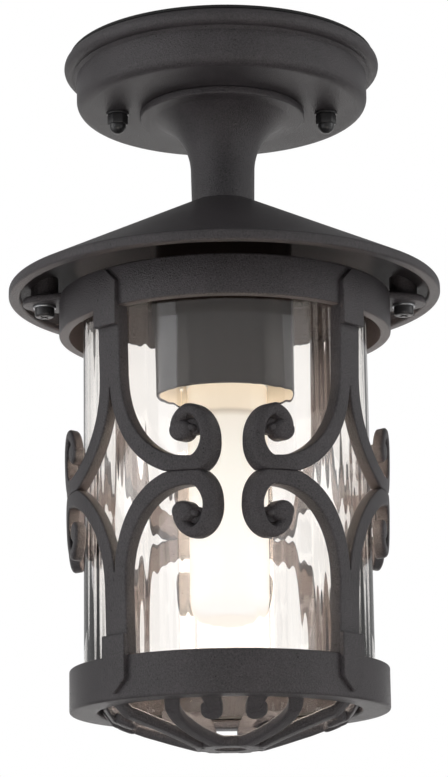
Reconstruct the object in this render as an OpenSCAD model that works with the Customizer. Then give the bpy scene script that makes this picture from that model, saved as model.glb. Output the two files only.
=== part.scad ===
// Porch ceiling lantern: rose, stem, roof and shroud on the ceiling side, and a cage with
// scrolled posts, glass and grille that hangs below the roof on two screws.
// Millimetres, +Z up. The origin is on the ceiling plane, at the centre of the rose.

/* [Ceiling rose] */
// Radius of the rose's wall
rose_r = 64; // [58:0.5:75]
// Height from the ceiling to the rose's flat bottom
rose_h = 24.5; // [20:0.5:32]
// Thickness of the rose's casting
rose_wall = 2.5; // [2:0.1:3]
// How far the rim bead stands out from the wall
rim_over = 5.5; // [4:0.1:8]
// Height of the rim bead
rim_h = 7; // [5:0.1:9]
// Radius of the corner between wall and bottom
rose_corner = 5; // [3.5:0.1:7]
// Distance between the two dome nuts
nut_spacing = 92; // [84:1:100]
// Thickness of the foam gasket on the ceiling
gasket_t = 1.2; // [0.8:0.1:2]

/* [Stem] */
// Height of the stem, from the rose to the roof
stem_h = 42.5; // [38:0.5:80]
// Radius of the stem's neck
neck_r = 14; // [12:0.1:16]
// Radius of the trumpet's flare
flare_r = 26; // [20:0.5:30]
// Radius of the stem's top flange
flange_r = 36.2; // [34.5:0.1:40]
// Thickness of the stem's top flange
flange_t = 3.5; // [2.5:0.1:5]

/* [Roof] */
// Radius of the roof's brim
roof_r = 93.5; // [91:0.5:105]
// Slope of the roof in degrees
roof_pitch = 26.5; // [22:0.5:30]
// Thickness of the roof
roof_t = 3; // [2:0.1:3.5]
// Height of the turned-down lip
lip_h = 4; // [3:0.1:6]
// Width of the lip's lower face
lip_w = 5; // [4:0.1:5]
// Distance between the two cage screws
ear_spacing = 156; // [152:0.5:158]

/* [Cage] */
// Distance from the brim's edge down to the top ring's top
cage_drop = 3.4; // [2.5:0.1:6]
// Outer radius of the top ring
ring_r = 71.7; // [70.5:0.1:73]
// Wall of the top ring
ring_wall = 4.3; // [3.5:0.1:5]
// Height of the top ring
ring_h = 17.2; // [15:0.1:22]
// Overall height of the cage, ring top to ring bottom
cage_h = 180; // [170:1:230]
// Outer radius of the bottom ring
foot_r = 67.4; // [66.5:0.1:69.5]
// Wall of the bottom ring
foot_wall = 3.4; // [2.5:0.1:4]
// Height of the bottom ring
foot_h = 18; // [15:0.5:24]
// Radius of the opening in the bottom ring's ledge
mouth_r = 55.6; // [53:0.1:57]
// Thickness of the ledge
ledge_t = 3; // [2:0.1:4]
// Thickness of the ears on the top ring
ear_t = 3; // [2.5:0.1:5]

/* [Scrolled posts] */
// Width of a post
post_w = 12.2; // [11.5:0.1:14]
// Depth of the castings, front to back
casting_t = 5.6; // [4.5:0.1:5.8]
// Height of the fork, from the mid plane to where a post splits
fork_h = 40; // [36:0.5:44]
// Width of a scroll bar where the upper and lower scrolls meet
bar_w = 7.8; // [7:0.1:8.4]
// Width of a scroll bar round the curl
curl_w = 5; // [4.5:0.1:5.6]
// Distance along the cage from a post's middle to a curl's middle
curl_reach = 35.9; // [33:0.1:37]
// Half width of a curl along the cage, to the bar's middle
curl_half_w = 7.5; // [7.2:0.1:8.5]
// Half height of a curl, to the bar's middle
curl_half_h = 11.5; // [10.5:0.1:12.2]
// Radius of the bulb that ends a curl
bulb_r = 4.5; // [4:0.1:4.9]
// Thickness of the pointed pads over the rings
pad_t = 1.9; // [1.2:0.1:2.5]
// Width of the pointed pads
pad_w = 12.8; // [12:0.1:15]

/* [Grille] */
// Depth of the grille's hub below the cage
grille_drop = 15.2; // [10:0.1:22]
// Thickness of the grille
grille_t = 4.4; // [3.5:0.1:6]
// Radius of the hub
hub_r = 14.9; // [13:0.1:18]
// Radius of the hole in the hub
hub_hole_r = 6.3; // [4:0.1:8]
// Width of the grille's bars
grille_bar = 6.4; // [5:0.1:7]

/* [Glass] */
// Outer radius of the glass cylinder
glass_r = 61.3; // [60.5:0.1:61.5]
// Thickness of the glass
glass_t = 3; // [2.5:0.1:4]

/* [Lampholder and lamp] */
// Outer radius of the shroud
shroud_r = 29.5; // [26:0.5:34]
// Height of the shroud
shroud_h = 78; // [74:1:95]
// Radius of the lamp's opal tube
lamp_r = 17.6; // [16:0.1:22]
// Length of the lamp's opal tube
lamp_h = 92; // [60:1:95]

/* [Hidden] */
$fn = 96;

// Fits and gaps
seat = 0.1;       // between pieces that sit in one another
part_gap = 0.3;   // between pieces that move apart
turn_gap = 0.05;  // radial clearance of a screw, stud or nut that turns
driver_gap = 0.5; // room round a washer and its screw's head below an ear
cut = 1;          // how far a cutting tool runs past a face

// Bought-in sizes: M10 tube, M5, M4 and M3 fasteners, E27 lamp cap
m10_r = 5;
m10_bore_r = 3.5;
m10_nut_r = 16.2 / 2;
m10_nut_h = 5;
m10_washer_r = 10;
m10_washer_t = 1.5;
m5_r = 2.5;
m5_hole_r = 2.75;
m5_nut_r = 9.2 / 2;
m5_nut_hex_h = 4.4;
m5_dome_r = 3.6;
m5_dome_drop = 0.6;                             // from the hexagon down to the dome's middle
m5_washer_r = 5;
m5_washer_t = 1;
m5_head_r = 4.3;
m5_head_h = 3.8;
m4_r = 2;
m3_r = 1.5;
e27_r = 13;
e27_l = 24;
e27_shell_t = 0.6;
insulator_h = 4.5;
insulator_step = 1.5;
insulator_top_r = 5;
tip_r = 4.5;
tip_h = 1.5;

// Heights of the ceiling side
floor_z = -rose_h + rose_wall;
roof_z = -rose_h - stem_h;
slope = tan(roof_pitch);
seat_r = neck_r + 0.5;                          // flat top of the roof
brim_z = roof_z - (roof_r - seat_r) * slope;
lip_z = brim_z - lip_h;
roof_tv = roof_t / cos(roof_pitch);             // roof thickness measured upright
function under_roof(r) = roof_z - (r - seat_r) * slope - roof_tv;

// Strap and studs
strap_t = 2;
strap_w = 22;
strap_l = nut_spacing + 14;
slot_spacing = 50;
slot_l = 10;
slot_r = 2.25;
cable_r = 9;
stud_flange_r = 4.4;
stud_flange_t = 1;
nut_z = -rose_h - m5_washer_t - turn_gap;       // top of the dome nuts
nut_bore = 6;
boss_r = 4;
boss_h = 3;
block = [28, 14, 12];                           // terminal block
block_y = 31;
earth_y = -31;
lead_r = 1.1;
lead_x = 1.7;
lead_bend = 6;

// Shroud, holder and lamp
shroud_z = under_roof(shroud_r) - part_gap;     // top of the shroud
shroud_t = 1.6;
shroud_end_z = shroud_z - shroud_h;
holder_r = 20;
holder_t = 2;
holder_inset = 12;                              // from the shroud's mouth up to the holder's
holder_corner = 5;
cap_h = 18;                                     // from the contact insert to the cap's top
cap_t = 6;
shell_seat = 2;                                 // from the holder's mouth up to the brass shell
holder_mouth_z = shroud_end_z + holder_inset;
tip_z = holder_mouth_z + e27_l;                 // top of the lamp's tip contact
insert_t = 6;
contact_h = 2.3;
contact_r = 3;
insert_z = tip_z + contact_h + part_gap;        // bottom of the contact insert
cap_z = insert_z + insert_t + cap_h;            // top of the lampholder's cap
tube_end_z = cap_z - cap_t;
tube_top_z = floor_z + 10;
collar_h = 9;
collar_over = 0.4;                              // how far the collar stands out past the lamp
collar_rim = 2.5;
lamp_top_z = holder_mouth_z - part_gap;
lamp_tube_z = lamp_top_z - collar_h;
lamp_end_r = 9;

// Cage heights and radii
ring_z = brim_z - cage_drop;
ring_end_z = ring_z - ring_h;
foot_end_z = ring_z - cage_h;
foot_z = foot_end_z + foot_h;
mid_z = (ring_end_z + foot_z) / 2;              // where the scrolls meet
ledge_z = foot_end_z + ledge_t;
flange_in_r = glass_r + 0.7;                    // inner flange of the top ring
ring_flange_t = 3;
ear_r = 9.6;
ear_root = 13;
ear_x = ear_spacing / 2;
tab_t = 1.5;                                    // grille tabs, between ledge and seal
seal_t = 1;
glass_end_z = ledge_z + tab_t + seal_t;

// Scroll drawing: u runs along the cage from a post's middle, v up from the mid plane
cage_r = (ring_r + foot_r) / 2;
arm_w = post_w / 2 + 0.2;
weld = 1.7;                                     // overlap of the upper and lower scrolls
arm_v = bar_w / 2 - weld;
curl_v = arm_v + curl_half_h;
bulb_u = -2.2;
bulb_v = 3.1;
coil_turn = 65;
coil_end = 0.6;
pad_shoulder = 5.6;
pad_tip_top = 1.2;
pad_over = 8.3;
pad_tip_bottom = 2.5;
spigot_r = 2;
spigot_head_r = 3.2;
spigot_head_t = 1;
post_angles = [-45, 45, 135, 225];

// Points of an arc in the plane
function arc(x, y, r, a0, a1, n = 10) =
    [for (i = [0:n]) let (a = a0 + (a1 - a0) * i / n) [x + r * cos(a), y + r * sin(a)]];

// Radius of the post castings' outer face at a height
function face_r(z) = ring_r - 0.2 + (foot_r - ring_r) * (ring_end_z - z) / (ring_end_z - foot_z);

// Offset of a line of points to one side by half a width that changes along it
function side_points(p, half) = [for (i = [0:len(p) - 1])
    let (d = p[min(i + 1, len(p) - 1)] - p[max(i - 1, 0)])
    p[i] + half[i] / norm(d) * [-d[1], d[0]]];

function reverse(p) = [for (i = [len(p) - 1:-1:0]) p[i]];

// A point of the unrolled cage, seen along the post's own direction
function drawn(p) = [cage_r * sin(p[0] / cage_r * 180 / PI), p[1]];

// ---------------------------------------------------------------- ceiling side

module ceiling_gasket() {
    color("dimgray")
    rotate_extrude() translate([rose_r - 2 * rose_wall, -gasket_t])
        square([2 * rose_wall + 0.6 * rim_over, gasket_t]);
}

module mounting_strap() {
    color("silver")
    difference() {
        translate([-strap_l / 2, -strap_w / 2, -strap_t]) cube([strap_l, strap_w, strap_t]);
        translate([0, 0, -strap_t - cut]) cylinder(r = cable_r, h = strap_t + 2 * cut);
        for (s = [-1, 1]) {
            translate([s * nut_spacing / 2, 0, -strap_t - cut])
                cylinder(r = m5_r + turn_gap, h = strap_t + 2 * cut, $fn = 48);
            for (e = [-1, 1])
                translate([s * slot_spacing / 2 + e * (slot_l / 2 - slot_r), 0, -strap_t - cut])
                    cylinder(r = slot_r, h = strap_t + 2 * cut, $fn = 48);
            translate([s * slot_spacing / 2 - slot_l / 2 + slot_r, -slot_r, -strap_t - cut])
                cube([slot_l - 2 * slot_r, 2 * slot_r, strap_t + 2 * cut]);
        }
    }
}

module strap_studs() {
    color("silver")
    for (s = [-1, 1]) translate([s * nut_spacing / 2, 0, 0]) {
        translate([0, 0, nut_z - nut_bore + 1])
            cylinder(r = m5_r, h = nut_bore - 1 - nut_z - 0.2, $fn = 48);
        translate([0, 0, -strap_t - stud_flange_t])
            cylinder(r = stud_flange_r, h = stud_flange_t, $fn = 48);
    }
}

module ceiling_rose() {
    bead_r = rim_h / 2;
    rim_r = rose_r + rim_over;
    inner = rose_r - rose_wall;
    color([0.2, 0.2, 0.21])
    difference() {
        union() {
            rotate_extrude() polygon(concat(
                [[0, -rose_h]],
                arc(rose_r - rose_corner, -rose_h + rose_corner, rose_corner, -90, 0),
                [[rose_r, -gasket_t - rim_h - 1]],
                arc(rim_r - bead_r, -gasket_t - bead_r, bead_r, -80, 90, 12),
                [[inner, -gasket_t], [inner, floor_z], [0, floor_z]]));
            for (y = [block_y, earth_y])
                translate([0, y, floor_z - 1]) cylinder(r = boss_r, h = boss_h + 1, $fn = 48);
        }
        translate([0, 0, -rose_h - cut]) cylinder(r = m10_r + seat, h = rose_wall + 2 * cut);
        for (s = [-1, 1]) translate([s * nut_spacing / 2, 0, -rose_h - cut])
            cylinder(r = m5_hole_r, h = rose_wall + 2 * cut, $fn = 48);
        translate([0, block_y, floor_z - 1]) cylinder(r = m3_r + turn_gap, h = boss_h + 2, $fn = 32);
        translate([0, earth_y, floor_z - 1]) cylinder(r = m4_r + turn_gap, h = boss_h + 2, $fn = 32);
    }
}

module nut_washers() {
    color([0.25, 0.25, 0.26])
    for (s = [-1, 1]) translate([s * nut_spacing / 2, 0, -rose_h - m5_washer_t])
        difference() {
            cylinder(r = m5_washer_r, h = m5_washer_t, $fn = 48);
            translate([0, 0, -cut]) cylinder(r = m5_hole_r, h = m5_washer_t + 2 * cut, $fn = 48);
        }
}

// Hexagon base with a domed cap below it, bored from above for the stud
module dome_nut(s) {
    color([0.18, 0.18, 0.19])
    translate([s * nut_spacing / 2, 0, nut_z]) difference() {
        union() {
            translate([0, 0, -m5_nut_hex_h]) cylinder(r = m5_nut_r, h = m5_nut_hex_h, $fn = 6);
            translate([0, 0, -m5_nut_hex_h - m5_dome_drop]) {
                cylinder(r = m5_dome_r, h = m5_dome_drop + 1, $fn = 48);
                sphere(r = m5_dome_r, $fn = 48);
            }
        }
        translate([0, 0, -nut_bore]) cylinder(r = m5_r + turn_gap, h = nut_bore + cut, $fn = 48);
    }
}

module terminal_block() {
    way = block[0] / 3;
    color("ivory")
    translate([0, block_y, floor_z + boss_h]) difference() {
        translate([-block[0] / 2, -block[1] / 2, 0]) cube(block);
        translate([0, 0, -cut]) cylinder(r = m3_r + 0.2, h = block[2] + 2 * cut, $fn = 32);
        for (k = [-1:1], e = [-1, 1]) {
            translate([k * way, e * block[1] / 2, block[2] / 2]) rotate([e * 90, 0, 0])
                translate([0, 0, -0.5]) cylinder(r = lead_r + seat, h = 4, center = true, $fn = 24);
            translate([k * way, e * block[1] / 4, block[2] - 3])
                cylinder(r = m3_r + turn_gap, h = 3 + cut, $fn = 24);
        }
    }
}

module terminal_screws() {
    color("silver")
    for (k = [-1:1], e = [-1, 1])
        translate([k * block[0] / 3, block_y + e * block[1] / 4, floor_z + boss_h + block[2] - 3])
            cylinder(r = m3_r, h = 2.4, $fn = 24);
}

module terminal_fixing_screw() {
    color("silver")
    translate([0, block_y, floor_z - 1 + seat]) {
        cylinder(r = m3_r, h = boss_h + 1 + block[2] + 0.5, $fn = 32);
        translate([0, 0, boss_h + 1 + block[2] - seat]) cylinder(r = 2.2, h = 1.8, $fn = 32);
    }
}

module earth_screw() {
    color("gold")
    translate([0, earth_y, floor_z - 1 + seat]) {
        cylinder(r = m4_r, h = boss_h + 4, $fn = 32);
        translate([0, 0, boss_h + 1 - seat]) cylinder(r = 3.6, h = 2.6, $fn = 32);
    }
}

// Closed tube with eight sides that follows a line of points
module tube(points, r) {
    n = 8;
    last = len(points) - 1;
    rings = [for (i = [0:last])
        let (d = points[min(i + 1, last)] - points[max(i - 1, 0)],
             t = d / norm(d),
             a = cross(t, [1, 0.2, 0]),
             u = a / norm(a),
             w = cross(t, u))
        for (k = [0:n - 1]) points[i] + r * (cos(360 * k / n) * u + sin(360 * k / n) * w)];
    walls = [for (i = [0:last - 1], k = [0:n - 1])
        let (a = i * n + k, b = i * n + (k + 1) % n) each [[a, b, b + n], [a, b + n, a + n]]];
    polyhedron(rings, concat([[for (k = [n - 1:-1:0]) k]], walls,
        [[for (k = [0:n - 1]) last * n + k]]), convexity = 6);
}

// Route of a lead from the block, over the tube's mouth and down to the contact insert
module holder_lead(s) {
    way_x = s * block[0] / 3;
    block_z = floor_z + boss_h + block[2] / 2;
    front_y = block_y - block[1] / 2;
    over_z = tube_top_z + 3.2;
    tube([[way_x, front_y + 1, block_z], [way_x, front_y - 3, block_z],
        [way_x * 0.8, front_y - 8, block_z + 2], [way_x * 0.5, front_y - 14, over_z - 0.6],
        [s * (lead_x + 1.4), 7, over_z], [s * (lead_x + 0.4), 2.6, over_z - 0.8],
        [s * lead_x, 0.6, tube_top_z + 0.4], [s * lead_x, 0, tube_top_z - 4],
        [s * lead_x, 0, roof_z], [s * lead_x, 0, tube_end_z + 2],
        [s * lead_x, 0, tube_end_z - 2], [s * (lead_x + 1.6), 0, tube_end_z - 6],
        [s * 6, 0, insert_z + insert_t + 3], [s * 6, 0, insert_z + insert_t + seat]], lead_r);
}

module lead_live() {
    color("saddlebrown") holder_lead(-1);
}

module lead_neutral() {
    color("royalblue") holder_lead(1);
}

// Earth lead from the block's middle way, round the tube nut, to the screw's collar
module lead_earth() {
    block_z = floor_z + boss_h + block[2] / 2;
    back_y = block_y - block[1] / 2;
    low_z = floor_z + lead_r + 0.4;
    way_r = m10_washer_r + 6;                   // the lead's way round the washer and nut
    end_x = boss_r;
    color("yellowgreen")
    tube([[0, back_y + 1, block_z], [0, back_y - 2.5, block_z],
        [way_r / 4, back_y - lead_bend, block_z - 2],
        [way_r * 0.7, back_y - 1.5 * lead_bend, block_z - 5],
        [way_r * 0.94, way_r / 2, low_z + 1], [way_r, 0, low_z], [way_r * 0.94, -way_r * 0.56, low_z],
        [way_r * 0.7, -way_r * 1.25, low_z + 0.6], [end_x + 3, earth_y + 3, low_z + 1.4],
        [end_x, earth_y, low_z + boss_h - 0.6]], lead_r);
}

// ---------------------------------------------------------------- stem and roof

module stem() {
    low_z = roof_z + flare_r * 0.58;            // where the flare runs into the neck
    rise = -rose_h - flange_t - low_z;
    meet = asin(min(1, rise / flare_r));
    color([0.2, 0.2, 0.21])
    difference() {
        rotate_extrude() polygon(concat(
            [[0, roof_z], [neck_r, roof_z]],
            arc(neck_r + flare_r, low_z, flare_r, 180, 180 - meet, 14),
            [[flange_r - 1, -rose_h - flange_t]],
            arc(flange_r - 1, -rose_h - 1, 1, 0, 90, 4),
            [[0, -rose_h]]));
        translate([0, 0, roof_z - cut]) cylinder(r = m10_r + 0.6, h = stem_h + 2 * cut);
    }
}

module threaded_tube() {
    color("silver")
    translate([0, 0, tube_end_z]) difference() {
        cylinder(r = m10_r, h = tube_top_z - tube_end_z);
        translate([0, 0, -cut]) cylinder(r = m10_bore_r, h = tube_top_z - tube_end_z + 2 * cut);
    }
}

module washer(z) {
    translate([0, 0, z]) difference() {
        cylinder(r = m10_washer_r, h = m10_washer_t);
        translate([0, 0, -cut]) cylinder(r = m10_r + seat, h = m10_washer_t + 2 * cut);
    }
}

module hex_nut(z) {
    translate([0, 0, z]) difference() {
        cylinder(r = m10_nut_r, h = m10_nut_h, $fn = 6);
        translate([0, 0, -cut]) cylinder(r = m10_r + turn_gap, h = m10_nut_h + 2 * cut);
    }
}

module top_washer() {
    color("silver") washer(floor_z);
}

module top_nut() {
    color("silver") hex_nut(floor_z + m10_washer_t);
}

module bottom_washer() {
    color("silver") washer(shroud_z - shroud_t - m10_washer_t);
}

module bottom_nut() {
    color("silver") hex_nut(shroud_z - shroud_t - m10_washer_t - m10_nut_h);
}

// Cone with a turned-down lip, a spacer for the shroud and two bosses for the cage screws
module roof() {
    boss_end_z = ring_z + part_gap;
    color([0.2, 0.2, 0.21])
    difference() {
        union() {
            rotate_extrude() polygon(concat(
                [[0, roof_z], [seat_r, roof_z], [roof_r - 1, brim_z + slope]],
                arc(roof_r - 1.2, brim_z - 0.8, 1.2, 60, 0, 5),
                [[roof_r, lip_z], [roof_r - lip_w, lip_z],
                 [roof_r - lip_w, under_roof(roof_r - lip_w)],
                 [seat_r, roof_z - roof_tv], [0, roof_z - roof_tv]]));
            translate([0, 0, shroud_z]) cylinder(r = seat_r, h = roof_z - 1 - shroud_z);
            intersection() {
                for (s = [-1, 1]) translate([s * ear_x, 0, boss_end_z])
                    cylinder(r = 6, h = roof_z - boss_end_z, $fn = 64);
                translate([0, 0, -roof_tv / 2]) rotate_extrude() polygon([[0, roof_z],
                    [seat_r, roof_z], [roof_r, brim_z], [roof_r, boss_end_z - cut],
                    [0, boss_end_z - cut]]);
            }
        }
        translate([0, 0, shroud_z - cut])
            cylinder(r = m10_r + seat, h = roof_z - shroud_z + 2 * cut);
        for (s = [-1, 1]) translate([s * ear_x, 0, boss_end_z - cut])
            cylinder(r = m5_r + turn_gap, h = 8 + cut, $fn = 48);
    }
}

module lamp_shroud() {
    color([0.12, 0.12, 0.13])
    difference() {
        rotate_extrude() polygon(concat(
            [[0, shroud_z]],
            arc(shroud_r - 2, shroud_z - 2, 2, 90, 0, 6),
            [[shroud_r, shroud_end_z], [shroud_r - shroud_t, shroud_end_z],
             [shroud_r - shroud_t, shroud_z - shroud_t], [0, shroud_z - shroud_t]]));
        translate([0, 0, shroud_z - shroud_t - cut])
            cylinder(r = m10_r + seat, h = shroud_t + 2 * cut);
    }
}

// ---------------------------------------------------------------- lampholder and lamp

module lampholder_cap() {
    cap_end_z = insert_z + insert_t;
    color("black")
    difference() {
        rotate_extrude() polygon(concat(
            [[0, cap_z], [holder_r - holder_corner, cap_z]],
            arc(holder_r - holder_corner, cap_z - holder_corner, holder_corner, 90, 0, 6),
            [[holder_r, cap_end_z], [holder_r - holder_t, cap_end_z],
             [holder_r - holder_t, cap_z - cap_t], [0, cap_z - cap_t]]));
        translate([0, 0, cap_z - cap_t - cut]) cylinder(r = m10_r + turn_gap, h = cap_t + 2 * cut);
    }
}

module lampholder_skirt() {
    color("black")
    translate([0, 0, holder_mouth_z]) difference() {
        cylinder(r = holder_r, h = insert_z + insert_t - holder_mouth_z);
        translate([0, 0, insert_z - holder_mouth_z])
            cylinder(r = holder_r - holder_t, h = insert_t + cut);
        translate([0, 0, -cut])
            cylinder(r = e27_r + part_gap + e27_shell_t + seat, h = insert_z - holder_mouth_z + 2 * cut);
    }
}

module contact_insert() {
    color("ivory")
    translate([0, 0, insert_z]) cylinder(r = holder_r - holder_t - seat, h = insert_t);
}

module screw_shell() {
    color("gold")
    translate([0, 0, holder_mouth_z + shell_seat]) difference() {
        cylinder(r = e27_r + part_gap + e27_shell_t, h = insert_z - holder_mouth_z - shell_seat);
        translate([0, 0, -cut])
            cylinder(r = e27_r + part_gap, h = insert_z - holder_mouth_z - shell_seat + 2 * cut);
    }
}

module centre_contact() {
    color("gold")
    translate([0, 0, tip_z + part_gap]) cylinder(r = contact_r, h = contact_h, $fn = 32);
}

module lamp_tube() {
    color([0.98, 0.95, 0.88])
    rotate_extrude() polygon(concat(
        [[0, lamp_tube_z], [lamp_r, lamp_tube_z]],
        arc(lamp_r - lamp_end_r, lamp_tube_z - lamp_h + lamp_end_r, lamp_end_r, 0, -90, 10),
        [[0, lamp_tube_z - lamp_h]]));
}

module lamp_collar() {
    color("white")
    rotate_extrude() polygon([[0, lamp_top_z], [e27_r + collar_over, lamp_top_z],
        [lamp_r + collar_over, lamp_tube_z + collar_rim], [lamp_r + collar_over, lamp_tube_z],
        [0, lamp_tube_z]]);
}

module lamp_cap() {
    color("silver")
    translate([0, 0, lamp_top_z]) cylinder(r = e27_r, h = e27_l - insulator_h - tip_h);
}

module lamp_insulator() {
    color("black")
    translate([0, 0, lamp_top_z + e27_l - insulator_h - tip_h])
        cylinder(r1 = e27_r - insulator_step, r2 = insulator_top_r, h = insulator_h);
}

module lamp_tip() {
    color("silver")
    translate([0, 0, lamp_top_z + e27_l - tip_h]) cylinder(r = tip_r, h = tip_h + part_gap, $fn = 48);
}

// ---------------------------------------------------------------- cage

// Ring with an inner flange that centres the glass, and an ear on each side
module top_ring() {
    hole_z = ring_z - ring_h / 2;
    color([0.2, 0.2, 0.21])
    difference() {
        union() {
            rotate_extrude() polygon([[ring_r - ring_wall, ring_end_z], [ring_r, ring_end_z],
                [ring_r, ring_z], [flange_in_r, ring_z], [flange_in_r, ring_z - ring_flange_t],
                [ring_r - ring_wall, ring_z - ring_flange_t]]);
            for (s = [0, 180]) rotate([0, 0, s]) translate([0, 0, ring_z - ear_t]) difference() {
                linear_extrude(ear_t) union() {
                    translate([ear_x, 0]) circle(r = ear_r);
                    polygon([[0, -ear_root], [ring_r - 2, -ear_root], [ear_x + 2, -ear_r + 0.2],
                        [ear_x + 2, ear_r - 0.2], [ring_r - 2, ear_root], [0, ear_root]]);
                }
                translate([0, 0, -cut]) cylinder(r = ring_r - 1, h = ear_t + 2 * cut);
            }
        }
        for (s = [-1, 1]) {
            translate([s * ear_x, 0, ring_z - ear_t - cut])
                cylinder(r = m5_hole_r, h = ear_t + 2 * cut, $fn = 48);
            translate([s * ear_x, 0, ring_end_z - cut])
                cylinder(r = m5_washer_r + driver_gap, h = ring_h - ear_t + cut, $fn = 48);
        }
        for (a = post_angles) rotate([0, 0, a]) translate([ring_r - ring_wall - cut, 0, hole_z])
            rotate([0, 90, 0]) cylinder(r = spigot_r + seat, h = ring_wall + 2 * cut, $fn = 32);
    }
}

// Ring with the ledge that carries the grille and the glass
module bottom_ring() {
    hole_z = foot_end_z + foot_h / 2;
    color([0.2, 0.2, 0.21])
    difference() {
        rotate_extrude() polygon([[mouth_r, foot_end_z], [foot_r - 0.6, foot_end_z],
            [foot_r, foot_end_z + 0.6], [foot_r, foot_z], [foot_r - foot_wall, foot_z],
            [foot_r - foot_wall, ledge_z], [mouth_r, ledge_z]]);
        for (a = post_angles) rotate([0, 0, a]) translate([foot_r - foot_wall - cut, 0, hole_z])
            rotate([0, 90, 0]) cylinder(r = spigot_r + seat, h = foot_wall + 2 * cut, $fn = 32);
    }
}

// Middle line of one scroll arm: down the post, out to the curl, round it and into the bulb
arm_line = concat(
    [for (i = [0:16]) let (a = 90 * i / 16)
        [curl_reach - (curl_reach - post_w / 4) * cos(a), arm_v + fork_h * (1 - sin(a))]],
    [for (i = [1:18]) let (a = -90 + 180 * i / 18)
        [curl_reach + curl_half_w * cos(a), curl_v + curl_half_h * sin(a)]],
    [for (i = [1:5]) let (t = coil_end * i / 5, a = 90 + coil_turn * t / coil_end, k = pow(1 - t, 0.8))
        [curl_reach + bulb_u * t + curl_half_w * k * cos(a),
         curl_v + bulb_v * t + curl_half_h * k * sin(a)]]);
arm_half = [for (i = [0:len(arm_line) - 1]) i < 16 ? (arm_w + (bar_w - arm_w) * i / 16) / 2
    : (bar_w + (curl_w - bar_w) * min((i - 16) / 8, 1)) / 2];

// Outline of one arm with its bulb, as seen along the post's own direction
module arm_drawing() {
    polygon([for (p = concat(side_points(arm_line, arm_half),
        reverse(side_points(arm_line, -arm_half)))) drawn(p)]);
    hull() {
        translate(drawn([curl_reach + bulb_u, curl_v + bulb_v])) circle(r = bulb_r, $fn = 32);
        translate(drawn([curl_reach + bulb_u - 0.6, curl_v + bulb_v + 0.8]))
            circle(r = bulb_r - 1.2, $fn = 32);
    }
}

// Pointed pad, tip upwards, with its top shoulder at zero
module pad_drawing(length) {
    hull() {
        translate([-pad_w / 2, -length]) square([pad_w, length]);
        translate([0, pad_shoulder - 0.5]) circle(r = 0.5, $fn = 32);
    }
}

// One post casting about the +X axis: a drawing pushed along X through the cage's tapered wall
module post_casting() {
    pad_top = ring_z - pad_tip_top - pad_shoulder;
    pad_foot = foot_end_z + pad_tip_bottom + pad_shoulder;
    upper_l = pad_top - (ring_end_z - pad_over);
    lower_l = foot_z + pad_over - pad_foot;
    ring_hole_z = ring_z - ring_h / 2;
    foot_hole_z = foot_end_z + foot_h / 2;
    reach = ring_r + 12;
    intersection() {
        rotate([90, 0, 90]) linear_extrude(reach) {
            translate([0, mid_z]) for (s = [0, 1], m = [0, 1])
                mirror([s, 0]) mirror([0, m]) arm_drawing();
            translate([-post_w / 2, mid_z + arm_v + fork_h - seat])
                square([post_w, ring_end_z - mid_z - arm_v - fork_h]);
            translate([-post_w / 2, foot_z + seat])
                square([post_w, mid_z - arm_v - fork_h - foot_z]);
        }
        rotate_extrude($fn = 180) polygon([[face_r(foot_z) - casting_t, foot_z],
            [face_r(foot_z), foot_z], [face_r(ring_end_z), ring_end_z],
            [face_r(ring_end_z) - casting_t, ring_end_z]]);
    }
    intersection() {
        rotate([90, 0, 90]) linear_extrude(reach) translate([0, pad_top]) pad_drawing(upper_l);
        rotate_extrude($fn = 180) polygon([[ring_r + seat, ring_z], [ring_r + pad_t, ring_z],
            [ring_r + pad_t, ring_end_z - pad_over], [ring_r - casting_t, ring_end_z - pad_over],
            [ring_r - casting_t, ring_end_z - seat], [ring_r + seat, ring_end_z - seat]]);
    }
    intersection() {
        rotate([90, 0, 90]) linear_extrude(reach) translate([0, pad_foot]) mirror([0, 1])
            pad_drawing(lower_l);
        rotate_extrude($fn = 180) polygon([[foot_r + seat, foot_end_z], [foot_r + pad_t, foot_end_z],
            [foot_r + pad_t, foot_z + pad_over], [foot_r - casting_t + 1, foot_z + pad_over],
            [foot_r - casting_t + 1, foot_z + seat], [foot_r + seat, foot_z + seat]]);
    }
    for (e = [[ring_r, ring_wall, ring_hole_z], [foot_r, foot_wall, foot_hole_z]])
        translate([0, 0, e[2]]) rotate([0, 90, 0]) {
            translate([0, 0, e[0] - e[1] - 1]) hull() {
                cylinder(r = spigot_r, h = e[1] + 1 + pad_t / 2, $fn = 16);
                translate([0, 0, 0.5]) cylinder(r = spigot_r, h = e[1], $fn = 16);
            }
            translate([0, 0, e[0] - e[1] - 0.05 - spigot_head_t]) hull() {
                cylinder(r = spigot_head_r - 0.8, h = spigot_head_t, $fn = 16);
                translate([0, 0, spigot_head_t / 2])
                    cylinder(r = spigot_head_r, h = spigot_head_t / 2, $fn = 16);
            }
        }
}

module post(k) {
    color([0.2, 0.2, 0.21]) rotate([0, 0, post_angles[k]]) post_casting();
}

// Middle line of half a heart of the grille, in plan, pointing along +X from the hub
heart_x = mouth_r - 9.6;                        // middle of a curl, out from the hub
heart_y = 16.4;                                 // middle of a curl, across the heart
heart_a = 8.7;
heart_from = [hub_r - 3, 4];
heart_pull = [hub_r + 5, 15];
heart_top = [heart_x, heart_y + heart_a];
heart_line = concat(
    [for (i = [0:11]) let (t = i / 12, w = 1 - t)
        w * w * w * heart_from + 3 * w * w * t * heart_pull
        + 3 * w * t * t * (heart_top - [12, 0]) + t * t * t * heart_top],
    [for (i = [0:14]) let (a = 190 * i / 14)
        [heart_x + heart_a * sin(a), heart_y + heart_a * cos(a)]]);
heart_end = heart_line[len(heart_line) - 1];

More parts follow.
